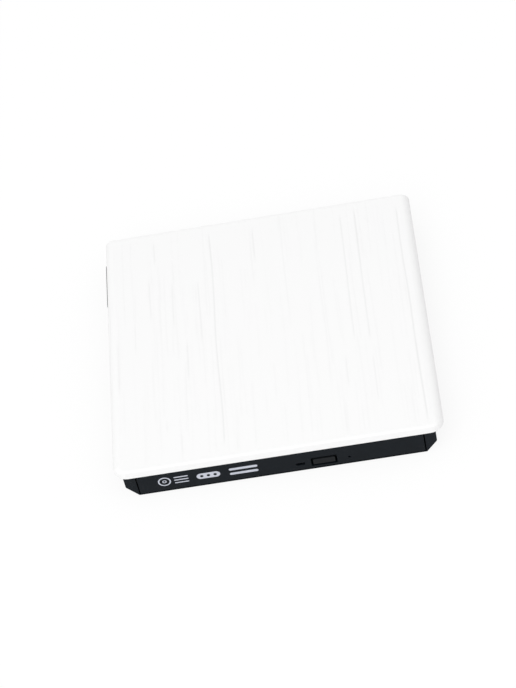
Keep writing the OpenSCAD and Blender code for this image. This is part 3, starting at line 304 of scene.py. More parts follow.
# %% Boards, wire and film
# The wave texture goes through a whole wave for each 2 pi / 20 of its coordinate.
WAVE_FACTOR = 20


def lined(name, pitch_mm, axis, dark, light, gloss, height_mm, **sockets):
    """Stripes of a real pitch across one axis, with an even tone along the stripes."""
    material, tree, shader = start_finish(name, light, gloss[0], **sockets)
    place = add(tree, "ShaderNodeTexCoord")
    waves = math.tau / (WAVE_FACTOR * pitch_mm * MM)
    stripe = add(tree, "ShaderNodeTexWave", {
        "Vector": place.outputs["Object"], "Scale": waves, "Distortion": 0.0}, bands_direction=axis)
    two_tone(tree, shader, stripe.outputs["Fac"], dark, light)
    uneven_gloss(tree, shader, mottle(tree, 2.0), *gloss)
    relief(tree, shader, stripe.outputs["Fac"], height_mm)
    return material


# Solder mask over copper: tracks 1 mm apart show as a lighter green under a thin varnish.
board = lined("green_solder_mask", 1.0, "X", "#124A2A", "#1B6339", (0.28, 0.4), 0.02)
# Enamelled copper wire: turns 0.2 mm apart drawn at 0.4 mm, with a reddish varnish gloss.
copper_wire = lined("enamelled_copper", 0.4, "Y", "#6E3517", "#B5652F", (0.24, 0.36), 0.08, Metallic=0.85)
# Polyimide film: amber, glossy, with copper conductors 1 mm apart inside it.
polyimide = lined("amber_polyimide", 1.0, "X", "#8A4E14", "#C07F2A", (0.16, 0.26), 0.01, Coat_Weight=0.3)
print("boards, wire and film ready")


# %% Optics
# Smoked acrylic: a dark light pipe that reads as black until its lamp is lit.
def smoked_acrylic():
    """Dark plastic that lets a third of the light through, with a polished skin."""
    material, tree, shader = start_finish("smoked_acrylic", "#0B0C0E", 0.1, IOR=1.49,
                                          Transmission_Weight=0.35, Specular_IOR_Level=0.15)
    two_tone(tree, shader, mottle(tree, 2.0), "#070809", "#0F1012")
    uneven_gloss(tree, shader, mottle(tree, 1.0), 0.08, 0.16)
    return material


# Coated lens: clear, with the blue-violet cast of its anti-reflection layer.
def coated_lens():
    """Clear glass under a thin coat, with two close tints."""
    material, tree, shader = start_finish("coated_lens", "#B9C6EC", 0.02, IOR=1.52,
                                          Transmission_Weight=0.8, Coat_Weight=0.6)
    two_tone(tree, shader, mottle(tree, 1.5), "#9FB2EC", "#CBD3F2")
    return material


acrylic = smoked_acrylic()
lens_coat = coated_lens()
print("optics ready")

# %% [markdown]
# ## Every CAD node gets its finish
# The record names a material slot for each node. Matching slots to finishes in one table means that
# no node is forgotten, and that a repaint later changes one line.

# %% Finishes on the CAD nodes
FINISHES = {
    "white_cover": white_abs, "black_housing": black_abs, "dark_button": button_abs,
    "black_tray": tray_abs, "black_rubber": rubber, "zinc_steel": zinc_steel,
    "bright_steel": bright_steel, "black_steel": black_steel, "cast_alloy": cast_alloy,
    "bearing_bronze": bronze, "copper_winding": copper_wire, "board": board, "chip_black": epoxy,
    "switch_steel": tinned_steel, "ivory_plastic": nylon, "amber_film": polyimide,
    "clear_acrylic": acrylic, "lens_glass": lens_coat,
}
slot_of = {part["node"]: part["material_slot"] for part in frame["record"]["subparts"]}
for node, solid in frame["nodes"].items():
    solid.data.materials.clear()
    solid.data.materials.append(FINISHES[slot_of[node]])
print("finishes on", len(slot_of), "nodes")

# %% [markdown]
# ## Tools for new pieces
# Each new piece is worked out as an array of points and a list of faces. A grid of points becomes
# quads between neighbours; rings of points become a tube; a merge closes poles and seams. The mesh
# keeps its place in its points, so the object itself stays at the origin.

# %% Tools for pieces
SHARP_ANGLE = math.radians(35)


def grid_faces(rows, columns, first=0, ring_rows=False, ring_columns=False):
    """Quads between neighbours of a grid stored row by row; a ring joins its last line to its first."""
    index = first + np.arange(rows * columns).reshape(rows, columns)
    if ring_rows:
        index = np.vstack([index, index[:1]])
    if ring_columns:
        index = np.hstack([index, index[:, :1]])
    corners = [index[:-1, :-1], index[:-1, 1:], index[1:, 1:], index[1:, :-1]]
    return np.stack(corners, axis=-1).reshape(-1, 4).tolist()


def add_piece(name, points, faces, body, finish, slot=None, merge=1e-7):
    """Makes a mesh of points and faces, merges its seams, shades it smooth and rides it on a body."""
    mesh = bpy.data.meshes.new(name)
    mesh.from_pydata(np.reshape(points, (-1, 3)).tolist(), [], faces)
    work = bmesh.new()
    work.from_mesh(mesh)
    bmesh.ops.remove_doubles(work, verts=work.verts, dist=merge)
    bmesh.ops.recalc_face_normals(work, faces=work.faces)
    work.to_mesh(mesh)
    work.free()
    mesh.polygons.foreach_set("use_smooth", [True] * len(mesh.polygons))
    mesh.set_sharp_from_angle(angle=SHARP_ANGLE)
    mesh.materials.append(finish)
    piece = bpy.data.objects.new(name, mesh)
    bpy.context.scene.collection.objects.link(piece)
    if body:
        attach(piece, body)
    print(name, "has", len(mesh.vertices), "points and", len(mesh.polygons), "faces")
    return piece


def gather(parts):
    """Joins (points, faces) pairs into one pair, moving each part's face numbers past the last."""
    starts = np.cumsum([0] + [len(points) for points, _ in parts])
    points = np.vstack([points for points, _ in parts])
    faces = [[start + i for i in face] for start, (_, part) in zip(starts, parts) for face in part]
    return points, faces


def prism(outline, along, low, high):
    """A closed outline carried straight along one axis from low to high, with both ends closed."""
    outline = np.asarray(outline, float)
    ends = [np.insert(outline, along, level, axis=1) for level in (low, high)]
    count = len(outline)
    faces = grid_faces(2, count, ring_columns=True)
    faces += [list(range(count))[::-1], list(range(count, 2 * count))]
    return np.vstack(ends), faces


# %% [markdown]
# ## The cover
# The pale cover is most of what the photograph shows: a flat cap whose two long sides roll down,
# whose front corners are round in plan, and whose back is cut off square. It could be a scaled and
# bevelled box, but then the grain would have no points to live on. Here it is a sheet over two index
# directions: rings 0 to n go outwards over an edge, and at a front corner the ring number is the
# larger of the two, while their ratio is the angle round the corner.

# %% Cap surface
def edge_line(band, roll, drop, steps):
    """An edge seen end on: flat, then a quarter circle of radius roll, then straight down to drop."""
    flat = np.linspace(0, band - roll, steps[0], endpoint=False)
    angle = np.linspace(0, np.pi / 2, steps[1], endpoint=False)
    fall = np.linspace(roll, drop, steps[2] + 1)
    reach = np.concatenate([flat, band - roll + roll * np.sin(angle), np.full(len(fall), band)])
    down = np.concatenate([0 * flat, roll * (1 - np.cos(angle)), fall])
    return reach, down


def smooth_step(value):
    """Rises from 0 to 1 with level ends: 3 v^2 - 2 v^3."""
    value = np.clip(value, 0, 1)
    return value * value * (3 - 2 * value)


def cap_grid(inset, ring_x, ring_y, place_x, place_y, pull):
    """Points of the cap at whole arrays of ring numbers, inset into its wall by a distance.

    Ring k = max(kx, ky) and angle a = 45 deg * ky / kx, or its mirror where ky is larger. The point
    goes out from the inner edge by reach(k), turned by a, and down by drop(k). Both come from the
    side's line at a = 0 and from the front's at a = 90 deg, with a smooth step between them. At the
    back, pull draws the last rows in, which breaks the edge."""
    lines = [edge_line(BAND - inset, max(roll - inset, MIN_ROLL), TOP - LIP - inset, EDGE_STEPS)
             for roll in (SIDE_ROLL, FRONT_ROLL)]
    kx = np.abs(ring_x)[None, :]
    ky = ring_y[:, None]
    ring = np.maximum(kx, ky)
    ratio = np.minimum(kx, ky) / np.maximum(ring, 1)
    angle = np.where(kx >= ky, ratio, 2 - ratio) * np.pi / 4
    share = smooth_step(angle / (np.pi / 2))
    reach = (1 - share) * lines[0][0][ring] + share * lines[1][0][ring]
    down = (1 - share) * lines[0][1][ring] + share * lines[1][1][ring]
    bend = FRONT + BAND
    line_y = bend + (place_y - bend) * (BACK - inset - bend) / (BACK - bend)
    x = place_x[None, :] + np.sign(ring_x)[None, :] * reach * np.cos(angle)
    y = line_y[:, None] - reach * np.sin(angle)
    z = TOP - inset - down
    x = x * (1 - pull[:, None] / HALF)
    z = LIP + (z - LIP) * (1 - pull[:, None] / (TOP - LIP))
    return np.stack(np.broadcast_arrays(x, y, z), axis=-1)


cover_low, cover_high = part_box("top_cover")
base_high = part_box("base_shell")[1]
HALF = cover_high.x
FRONT = cover_low.y
BACK = cover_high.y
TOP = cover_high.z
LIP_GAP = 0.3 * MM
LIP = base_high.z + LIP_GAP
BAND = 6.6 * MM
SIDE_ROLL = 4.4 * MM
FRONT_ROLL = 0.8 * MM
MIN_ROLL = 0.3 * MM
REAR_BREAK = 0.3 * MM
WALL = 1.6 * MM
EDGE_STEPS = (4, 18, 4)
print("cover is", round(2 * HALF / MM, 1), "by", round((BACK - FRONT) / MM, 1), "mm")

# %% [markdown]
# ## The cover's grain
# The mould has long shallow grooves that run front to back, like the figure of pale wood: a few clear
# ones, and between them fine streaks that only show in raking light. They could be bump alone, but
# then the outline and the printed mesh would be smooth. Each groove here is a bell-shaped dip that
# sways a little and fades at both ends. Their sum lowers the points along the surface's own normal.

# %% Grain
# Clear grooves: place across the cover, rear end and front end in mm, and share of the full depth.
CLEAR_GROOVES = (
    (-69, 8, -28, 0.5), (-61, 18, -6, 0.5), (-53, 43, 14, 0.6), (-50, 68, 48, 0.8), (-48, -44, -55, 0.5),
    (-42, 40, 8, 0.6), (-42, -52, -70, 0.5), (-37, 2, -26, 0.7), (-30, 38, -4, 0.7), (-23, 68, -66, 1.0),
    (-2, 67, 41, 0.7), (35, -22, -44, 0.6), (40, 67, -16, 0.7), (47, 69, -18, 0.8), (47, -23, -55, 0.6),
    (67, 66, -69, 1.0),
)
GRAIN_SEED = 11
FINE_STREAKS = 170
STREAK_HALF_MM = (8, 40)
STREAK_PLACE_MM = (-76, 76)
STREAK_SHARE = (0.06, 0.26)
SWAY_MM = (0.1, 0.35)
WAVE_MM = (60, 160)
WIDTH_SPREAD = (0.85, 1.3)
FULL_DEPTH = 0.05 * MM
DEPTH_LIMIT = 1.2 * FULL_DEPTH
GROOVE_WIDTH = 0.34 * MM
FADE = 7 * MM


def grain_depth(across, along):
    """Depth of the grain on a grid: sum of depth * exp(-(offset / width)^2) * fade over all grooves.

    offset = across - place - sway * sin(2 pi along / wave + phase), and fade is one smooth step up
    at the groove's rear end and one down at its front end. Places of the fine streaks are drawn."""
    draw = np.random.default_rng(GRAIN_SEED)
    middle = draw.uniform(FRONT, BACK, FINE_STREAKS)
    half = draw.uniform(*STREAK_HALF_MM, FINE_STREAKS) * MM
    fine = np.stack([draw.uniform(*STREAK_PLACE_MM, FINE_STREAKS) * MM, middle + half, middle - half,
                     draw.uniform(*STREAK_SHARE, FINE_STREAKS)], axis=1)
    clear = np.array(CLEAR_GROOVES) * [MM, MM, MM, 1]
    total = np.zeros((len(along), len(across)))
    for place, rear, front, share in np.vstack([clear, fine]):
        sway = draw.uniform(*SWAY_MM) * MM
        wave = draw.uniform(*WAVE_MM) * MM
        line = place + sway * np.sin(math.tau * along / wave + draw.uniform(0, math.tau))
        fade = smooth_step((rear - along) / FADE) * smooth_step((along - front) / FADE)
        offset = (across[None, :] - line[:, None]) / (GROOVE_WIDTH * draw.uniform(*WIDTH_SPREAD))
        total += share * FULL_DEPTH * fade[:, None] * np.exp(-offset ** 2)
    return np.minimum(total, DEPTH_LIMIT)


print("grain has", len(CLEAR_GROOVES), "clear grooves and", FINE_STREAKS, "fine streaks")

# %% Cover's grid
FLAT_COLUMNS = 456
LONG_ROWS = 106
REAR_ROWS = 4

rings = sum(EDGE_STEPS)
level_columns = np.zeros(FLAT_COLUMNS + 1, int)
ring_x = np.concatenate([-np.arange(rings, 0, -1), level_columns, np.arange(1, rings + 1)])
ring_y = np.concatenate([np.arange(rings, 0, -1), np.zeros(LONG_ROWS + 1 + REAR_ROWS, int)])
inner_half = HALF - BAND
flat_x = np.linspace(-inner_half, inner_half, FLAT_COLUMNS + 1)
place_x = np.concatenate([np.full(rings, -inner_half), flat_x, np.full(rings, inner_half)])
break_turn = np.linspace(0, np.pi / 2, REAR_ROWS + 1)[1:]
long_y = np.linspace(FRONT + BAND, BACK - REAR_BREAK, LONG_ROWS + 1)
rear_y = BACK - REAR_BREAK * (1 - np.sin(break_turn))
place_y = np.concatenate([np.full(rings, FRONT + BAND), long_y, rear_y])
pull = np.concatenate([np.zeros(rings + LONG_ROWS + 1), REAR_BREAK * (1 - np.cos(break_turn))])
print("grid has", len(place_y), "rows of", len(place_x), "points")

# %% Cover skin
WALL_FADE = 0.5
REAR_FADE = 2 * MM

skin = cap_grid(0, ring_x, ring_y, place_x, place_y, pull)
side_reach, side_down = edge_line(BAND, SIDE_ROLL, TOP - LIP, EDGE_STEPS)
side_arc = np.concatenate([[0], np.cumsum(np.hypot(np.diff(side_reach), np.diff(side_down)))])
across = place_x + np.sign(ring_x) * side_arc[np.abs(ring_x)]
keep_x = smooth_step((rings - np.abs(ring_x)) / EDGE_STEPS[2] - WALL_FADE)
keep_y = smooth_step(1 - ring_y / EDGE_STEPS[0]) * smooth_step((BACK - place_y) / REAR_FADE)
grain = grain_depth(across, place_y) * keep_y[:, None] * keep_x[None, :]
normal = np.cross(np.gradient(skin, axis=1), np.gradient(skin, axis=0))
normal /= np.linalg.norm(normal, axis=-1, keepdims=True)
skin = skin - normal * grain[..., None]
print("grain is up to", round(grain.max() / MM, 3), "mm deep")

# %% [markdown]
# ### From a skin to a shell
# A moulded cover is a wall of even thickness. A Solidify modifier would copy the fine grid to the
# inside, where nobody looks. A second grid with every fourth line, inset by the wall, costs a
# sixteenth of that. The lower rim joins four outer steps to one inner step, and two flat faces close
# the back.

# %% Cover shell
STRIDE = 4


def rim_faces(outer, inner):
    """Faces between two lines of points: each step of the inner line takes STRIDE outer steps."""
    steps = range(len(inner) - 1)
    return [[*outer[STRIDE * k:STRIDE * (k + 1) + 1], inner[k + 1], inner[k]] for k in steps]


lining = cap_grid(WALL, *[line[::STRIDE] for line in (ring_x, ring_y, place_x, place_y, pull)])
outer_index = np.arange(skin[..., 0].size).reshape(skin.shape[:2])
inner_index = outer_index.size + np.arange(lining[..., 0].size).reshape(lining.shape[:2])
shell_faces = grid_faces(*skin.shape[:2]) + grid_faces(*lining.shape[:2], first=outer_index.size)
for edge in (np.s_[:, 0], np.s_[:, -1], np.s_[0, :]):
    shell_faces += rim_faces(outer_index[edge].tolist(), inner_index[edge].tolist())
shell_faces += [outer_index[-1].tolist(), inner_index[-1].tolist()]
shell_faces += [[outer_index[-1, 0], outer_index[-1, -1], inner_index[-1, -1], inner_index[-1, 0]]]

shell_points = np.vstack([skin.reshape(-1, 3), lining.reshape(-1, 3)])
cover = add_piece("cover_shell", shell_points, shell_faces, "housing", white_abs, "white_cover", merge=0)
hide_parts("top_cover")
# The grain attribute holds each point's groove depth, which the cover's material turns into painted shade.
groove = np.zeros(len(shell_points))
groove[:grain.size] = grain.ravel() / FULL_DEPTH
mark = cover.data.attributes.new("grain", "FLOAT", "POINT")
mark.data.foreach_set("value", groove.astype(np.float32))

# %% [markdown]
# ### What the cover carries inside
# Two ribs press on the drive's lid, two bosses take the screws from below, and four hooks snap into
# the base. They are straight mouldings, so each is an outline carried along one axis or turned round
# one, with its place taken from the parts that it meets.

# %% Turned shapes
def turned(loop, axis, centre, count=48):
    """A closed (radius, height) loop turned round the y or z axis through a centre, as a closed ring."""
    loop = np.asarray(loop, float)
    angle = np.linspace(0, math.tau, count, endpoint=False)[:, None]
    flat = (loop[None, :, 0] * np.cos(angle) + centre[0], loop[None, :, 0] * np.sin(angle) + centre[1])
    height = np.broadcast_to(loop[None, :, 1], flat[0].shape)
    order = (flat[0], height, flat[1]) if axis == 1 else (flat[0], flat[1], height)
    faces = grid_faces(count, len(loop), ring_rows=True, ring_columns=True)
    return np.stack(order, axis=-1).reshape(-1, 3), faces


pan_low, pan_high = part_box("drive_pan")
lid_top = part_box("drive_lid")[1].z
screw_low, screw_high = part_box("housing_screws")
print("ribs stand on the lid at", round(lid_top / MM, 2), "mm")

# %% Ribs, bosses and hooks
CEILING_SINK = 0.1 * MM
CEILING = TOP - WALL + CEILING_SINK
RIB_PLACE = 0.62
RIB_T = 1.2 * MM
RIB_FRONT = 14 * MM
RIB_REAR = 10 * MM
HOOK_T = 0.9 * MM
HOOK_BARB = 0.5 * MM
HOOK_RISE = 1.2 * MM
HOOK_HALF = 4.0 * MM
HOOK_GAP = 0.15 * MM
HOOK_DROP = 4.0 * MM
FRONT_HOOK = 27 * MM
REAR_HOOK = 6 * MM
BOSS_R = 3.2 * MM
SCREW_HEAD_R = 2.2 * MM
SCREW_SHANK_R = 0.97 * MM
rib_x = RIB_PLACE * pan_high.x
rib_far = rib_x + RIB_T
rib_outline = [(rib_x, lid_top), (rib_far, lid_top), (rib_far, CEILING), (rib_x, CEILING)]
hook_x = -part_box("port_hood")[1].x - HOOK_GAP
hook_z = base_high.z - HOOK_DROP
barb_z = hook_z + HOOK_RISE
hook_outline = [
    (hook_x - HOOK_T, hook_z), (hook_x, hook_z), (hook_x + HOOK_BARB, barb_z),
    (hook_x, barb_z), (hook_x, CEILING), (hook_x - HOOK_T, CEILING),
]
boss = (screw_high.x - SCREW_HEAD_R, (screw_low.y + screw_high.y) / 2)
boss_loop = [
    (SCREW_SHANK_R, cover_low.z), (BOSS_R, cover_low.z), (BOSS_R, CEILING), (SCREW_SHANK_R, CEILING),
]
parts = [prism(rib_outline, 1, pan_low.y + RIB_FRONT, pan_high.y - RIB_REAR), turned(boss_loop, 2, boss)]
for hook_y in (FRONT + FRONT_HOOK, joints["spindle_spin"]["pos_m"][1] + REAR_HOOK):
    parts.append(prism(hook_outline, 1, hook_y - HOOK_HALF, hook_y + HOOK_HALF))
mirrored = [(points * [-1, 1, 1], faces) for points, faces in parts]
add_piece("cover_fixings", *gather(parts + mirrored), "housing", white_abs, "white_cover")

# %% [markdown]
# ## Softened edges
# No moulded or pressed edge is perfectly sharp: a round of a tenth or two catches a thin line of
# light, and the eye reads that as real. The CAD triangles are left alone. A copy is merged, its flat
# faces are joined again, and a Bevel modifier rounds every edge that turns more than 30 degrees.

# %% Rounded copies of the visible mouldings
SAME_POINT = 1e-6
SAME_PLANE = math.radians(0.5)
EDGE_TURN = math.radians(30)
ROUND_STEPS = 2


def soften(node, width_mm):
    """A merged copy of a CAD node whose sharp edges get a round of that width."""
    source = frame["nodes"][node]
    work = bmesh.new()
    work.from_mesh(source.data)
    bmesh.ops.remove_doubles(work, verts=work.verts, dist=SAME_POINT)
    bmesh.ops.dissolve_limit(work, angle_limit=SAME_PLANE, verts=work.verts, edges=work.edges)
    mesh = bpy.data.meshes.new(node + "_softened")
    work.to_mesh(mesh)
    work.free()
    if "custom_normal" in mesh.attributes:
        mesh.attributes.remove(mesh.attributes["custom_normal"])
    mesh.polygons.foreach_set("use_smooth", [True] * len(mesh.polygons))
    mesh.materials.clear()
    mesh.materials.append(FINISHES[slot_of[node]])
    piece = bpy.data.objects.new(node + "_softened", mesh)
    bpy.context.scene.collection.objects.link(piece)
    bevel = piece.modifiers.new("edge_round", "BEVEL")
    bevel.width = width_mm * MM
    bevel.segments = ROUND_STEPS
    bevel.limit_method = "ANGLE"
    bevel.angle_limit = EDGE_TURN
    bevel.harden_normals = True
    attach(piece, source["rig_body"])
    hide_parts(node)
    print(node, "softened by", width_mm, "mm")
    return piece


EDGE_ROUNDS_MM = {
    "base_shell": 0.25, "front_bezel": 0.2, "port_hood": 0.25, "eject_button": 0.15, "tray": 0.2,
    "usb_shell": 0.06, "traverse_cover": 0.08, "centre_hub": 0.15,
}
softened = {node: soften(node, width_mm) for node, width_mm in EDGE_ROUNDS_MM.items()}

# %% [markdown]
# ### A cover trimmed to its window
# The sheet over the pickup's carriage nearly fills the window in the tray, so that no stray light gets
# past it. The solid keeps a gap of 0.3 mm. Here the sheet's corners move outwards until only a hair's
# breadth is left, which is simpler than a lip under the gap and looks the same.

# %% Trimmed carriage cover
WINDOW_TRIM = 0.26 * MM
PLAN_DIGITS = 7


def widen(piece, step):
    """Moves the corners of a flat piece outwards, so that each edge of its outline moves by step.

    A corner moves by step * (n1 + n2) / (1 + n1 . n2), where n1 and n2 are the outward normals of the
    two edges that meet in it."""
    mesh = piece.data
    flat = np.empty(3 * len(mesh.vertices))
    mesh.vertices.foreach_get("co", flat)
    points = flat.reshape(-1, 3)
    plan = np.unique(points[:, :2].round(PLAN_DIGITS), axis=0)
    corners = plan[convex_hull_2d(plan.tolist())]
    edge = np.roll(corners, -1, axis=0) - corners
    normal = np.stack([edge[:, 1], -edge[:, 0]], axis=1)
    normal /= np.linalg.norm(normal, axis=1, keepdims=True)
    normal *= np.sign((normal * (corners - corners.mean(axis=0))).sum(axis=1, keepdims=True))
    before = np.roll(normal, 1, axis=0)
    push = (before + normal) / (1 + (before * normal).sum(axis=1, keepdims=True))
    distance = np.linalg.norm(points[:, None, :2] - corners[None], axis=2)
    moved = distance.min(axis=1) < SAME_POINT
    points[moved, :2] += step * push[distance.argmin(axis=1)[moved]]
    mesh.vertices.foreach_set("co", points.ravel())
    print(piece.name, "widened at", int(moved.sum()), "points")


widen(softened["traverse_cover"], WINDOW_TRIM)

# %% [markdown]
# ## Printed marks on the bezel
# Drives carry small pale prints at the left of the bezel. These are plain signs of no maker: a ring
# with three lines, a plate with three dots and a pair of bars. Ink could be a painted mask in the
# shader, but a print has an edge and a thickness, so each mark is a thin closed film on the face.

# %% Places and sizes of the marks
bezel_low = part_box("front_bezel")[0]
INK_T = 0.03 * MM
INK_SINK = 0.05 * MM
MARK_Z = bezel_low.z + 6.1 * MM
RING_X = -52.2 * MM
RING_R = (2.3 * MM, 2.9 * MM)
HOLE_R = (0.55 * MM, 0.95 * MM)
LINES_X = -44.6 * MM
LINE_HALF = 3.2 * MM
LINE_R = 0.32 * MM
LINE_RISE = 1.9 * MM
PLATE_X = -32.4 * MM
PLATE_HALF = 5.3 * MM
PLATE_R = 1.9 * MM
DOT_R = 0.75 * MM
DOT_STEP = 3.0 * MM
BARS_X = -16.6 * MM
BAR_HALF = 6.4 * MM
BAR_R = 0.75 * MM
BAR_RISE = 1.55 * MM
BAR_POINTS = 24
RING_POINTS = 72
ink_front = bezel_low.y - INK_T
ink_back = bezel_low.y + INK_SINK
print("marks lie on the face at", round(ink_front / MM, 2), "mm")


# %% Bezel marks
def stadium(x, z, half, r):
    """Outline of a bar with round ends of radius r, which reaches half to either side of its middle."""
    angle = np.linspace(-np.pi / 2, 3 * np.pi / 2, BAR_POINTS, endpoint=False)
    shift = np.where(np.cos(angle) >= -1e-9, half - r, r - half)
    return np.stack([x + shift + r * np.cos(angle), z + r * np.sin(angle)], axis=1)


def bar(x, z, half, r, front=ink_front):
    """A printed bar with round ends, or a dot where half and r are equal."""
    return prism(stadium(x, z, half, r), 1, front, ink_back)


def ring_loop(radii):
    """Section of a flat printed ring, from its inner to its outer radius."""
    return [(radii[0], ink_back), (radii[0], ink_front), (radii[1], ink_front), (radii[1], ink_back)]


marks = [turned(ring_loop(radii), 1, (RING_X, MARK_Z), RING_POINTS) for radii in (RING_R, HOLE_R)]
marks += [bar(LINES_X, MARK_Z + rise, LINE_HALF, LINE_R) for rise in (-LINE_RISE, 0, LINE_RISE)]
marks += [bar(PLATE_X, MARK_Z, PLATE_HALF, PLATE_R)]
marks += [bar(BARS_X, MARK_Z + rise, BAR_HALF, BAR_R) for rise in (-BAR_RISE, BAR_RISE)]
add_piece("bezel_marks", *gather(marks), "tray", ink)
dots = [bar(PLATE_X + step, MARK_Z, DOT_R, DOT_R, ink_front - INK_T) for step in (-DOT_STEP, 0, DOT_STEP)]
add_piece("bezel_dots", *gather(dots), "tray", black_abs, "black_housing")

# %% [markdown]
# ## Contacts in the side port
# The socket's tongue carries two rows of twelve gold strips, half a millimetre apart. They are small,
# but they are what the eye looks for in a socket, so each is a thin raised strip on the tongue.

# %% Port contacts
tongue_low, tongue_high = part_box("usb_tongue")
CONTACTS = 12
CONTACT_PITCH = 0.5 * MM
CONTACT_HALF = 0.13 * MM
CONTACT_T = 0.03 * MM
CONTACT_FROM = 0.4 * MM
CONTACT_TO = 4.2 * MM
TONGUE_HALF = 0.35 * MM
tongue_y = (tongue_low.y + tongue_high.y) / 2
tongue_z = (tongue_low.z + tongue_high.z) / 2
strips = []
for y in tongue_y + CONTACT_PITCH * (np.arange(CONTACTS) - (CONTACTS - 1) / 2):
    for side in (-1, 1):
        near = tongue_z + side * (TONGUE_HALF - CONTACT_T)
        far = tongue_z + side * (TONGUE_HALF + CONTACT_T)
        edges = (y - CONTACT_HALF, y + CONTACT_HALF)
        strip = [(edges[0], near), (edges[1], near), (edges[1], far), (edges[0], far)]
        strips.append(prism(strip, 0, tongue_low.x + CONTACT_FROM, tongue_low.x + CONTACT_TO))
add_piece("port_contacts", *gather(strips), "housing", gold_flash)

# %% [markdown]
# ## The lead screw's thread
# The pickup is driven by a slim screw with a coarse rolled groove. The CAD keeps it a plain rod,
# because threads are left to the looks. Its radius here is a function of the place along the axis and
# the angle: the groove lies where angle and place add up to a whole turn, which makes the thread
# left-handed, so that it drives the pickup outwards as the joint turns forwards.

# %% Lead screw's measures
def node_points(node):
    """All points of a CAD node as one array."""
    mesh = frame["nodes"][node].data
    flat = np.empty(3 * len(mesh.vertices))
    mesh.vertices.foreach_get("co", flat)
    return flat.reshape(-1, 3)


screw_axis = np.array(joints["lead_screw_spin"]["axis"])
screw_axis /= np.linalg.norm(screw_axis)
screw_root = np.array(joints["lead_screw_spin"]["pos_m"])
screw_points = node_points("lead_screw") - screw_root
screw_along = screw_points @ screw_axis
screw_out = np.linalg.norm(screw_points - screw_along[:, None] * screw_axis, axis=1)
THREAD_R = screw_out.max()
SHAFT_LIMIT = 0.8 * THREAD_R
thread = screw_along[screw_out > SHAFT_LIMIT]
LEAD = joints["pickup_slide"]["range_m"][1] / joints["lead_screw_spin"]["range_deg"][1] * 360
print("thread lead is", round(LEAD / MM, 2), "mm")

# %% Lead screw
SHAFT_R = 0.5 * MM
GROOVE_SINK = 0.28 * MM
GROOVE_SHARE = 0.3
ROWS_PER_TURN = 20
SCREW_SIDES = 32

thread_turns = (thread.max() - thread.min()) / LEAD
screw_rows = np.linspace(thread.min(), thread.max(), int(thread_turns * ROWS_PER_TURN))
screw_angle = np.linspace(0, math.tau, SCREW_SIDES, endpoint=False)
phase = (screw_rows[:, None] / LEAD + screw_angle[None, :] / math.tau) % 1
thread_r = THREAD_R - GROOVE_SINK * smooth_step(1 - np.abs(phase - 0.5) / GROOVE_SHARE)
ends = [(screw_along.min(), 0), (screw_along.min(), SHAFT_R), (thread.min(), SHAFT_R)]
ends += [(thread.max(), SHAFT_R), (screw_along.max(), SHAFT_R), (screw_along.max(), 0)]
end_rows = np.array([row for row, _ in ends])
end_r = np.repeat(np.array([r for _, r in ends])[:, None], SCREW_SIDES, axis=1)
all_rows = np.concatenate([end_rows[:3], screw_rows, end_rows[3:]])
all_r = np.vstack([end_r[:3], thread_r, end_r[3:]])
across_1 = np.cross(screw_axis, (0, 0, 1))
across_2 = np.cross(screw_axis, across_1)
spoke = np.cos(screw_angle)[:, None] * across_1 + np.sin(screw_angle)[:, None] * across_2
screw_grid = screw_root + all_rows[:, None, None] * screw_axis + all_r[..., None] * spoke[None]
screw_faces = grid_faces(*screw_grid.shape[:2], ring_columns=True)
lead_screw = add_piece(
    "lead_screw_thread", screw_grid, screw_faces, "lead_screw", bright_steel, "bright_steel")
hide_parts("lead_screw")

# %% [markdown]
# ## The ejector's coil spring
# A spring of thin wire pushes the rod that starts the tray. A round section is carried along a helix
# whose first and last turns lie close, as on a real spring with closed ends. It stretches between
# the bracket on the housing and the rod's head, as one fixed piece.

# %% Coil spring
spring_low, spring_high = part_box("ejector_spring")
WIRE_R = 0.12 * MM
SPRING_TURNS = 8
SPRING_STEPS = 28
WIRE_SIDES = 10
CLOSED_TURNS = 1.0
CLOSED_RISE = 2.4 * WIRE_R
spring_x = (spring_low.x + spring_high.x) / 2
spring_z = (spring_low.z + spring_high.z) / 2
coil_r = (spring_high.z - spring_low.z) / 2 - WIRE_R


def coil_rise(turns):
    """Distance along the spring after that many turns: slow on the end turns, steady between."""
    last = SPRING_TURNS - CLOSED_TURNS
    lying = np.clip(turns, 0, CLOSED_TURNS) + np.clip(turns - last, 0, CLOSED_TURNS)
    steady = np.clip(turns - CLOSED_TURNS, 0, SPRING_TURNS - 2 * CLOSED_TURNS)
    rise = CLOSED_RISE * lying / CLOSED_TURNS
    length = spring_high.y - spring_low.y - 2 * WIRE_R
    return rise + steady / (SPRING_TURNS - 2 * CLOSED_TURNS) * (length - 2 * CLOSED_RISE)


turns = np.linspace(0, SPRING_TURNS, SPRING_TURNS * SPRING_STEPS + 1)
around = math.tau * turns
outwards = np.stack([np.cos(around), 0 * around, np.sin(around)], axis=1)
line = np.array([spring_x, 0, spring_z]) + coil_r * outwards
line[:, 1] = spring_low.y + WIRE_R + coil_rise(turns)
tangent = np.gradient(line, axis=0)
lift = np.cross(tangent, outwards)
lift /= np.linalg.norm(lift, axis=1, keepdims=True)
section = np.linspace(0, math.tau, WIRE_SIDES, endpoint=False)
ring = np.cos(section)[None, :, None] * outwards[:, None] + np.sin(section)[None, :, None] * lift[:, None]
wire = line[:, None] + WIRE_R * ring
wire_faces = grid_faces(*wire.shape[:2], ring_columns=True)
wire_ends = np.arange(wire[..., 0].size).reshape(-1, WIRE_SIDES)[[0, -1]]
wire_faces += wire_ends.tolist()
spring = add_piece("ejector_coil", wire, wire_faces, None, bright_steel, "bright_steel")
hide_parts("ejector_spring")
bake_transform(spring)
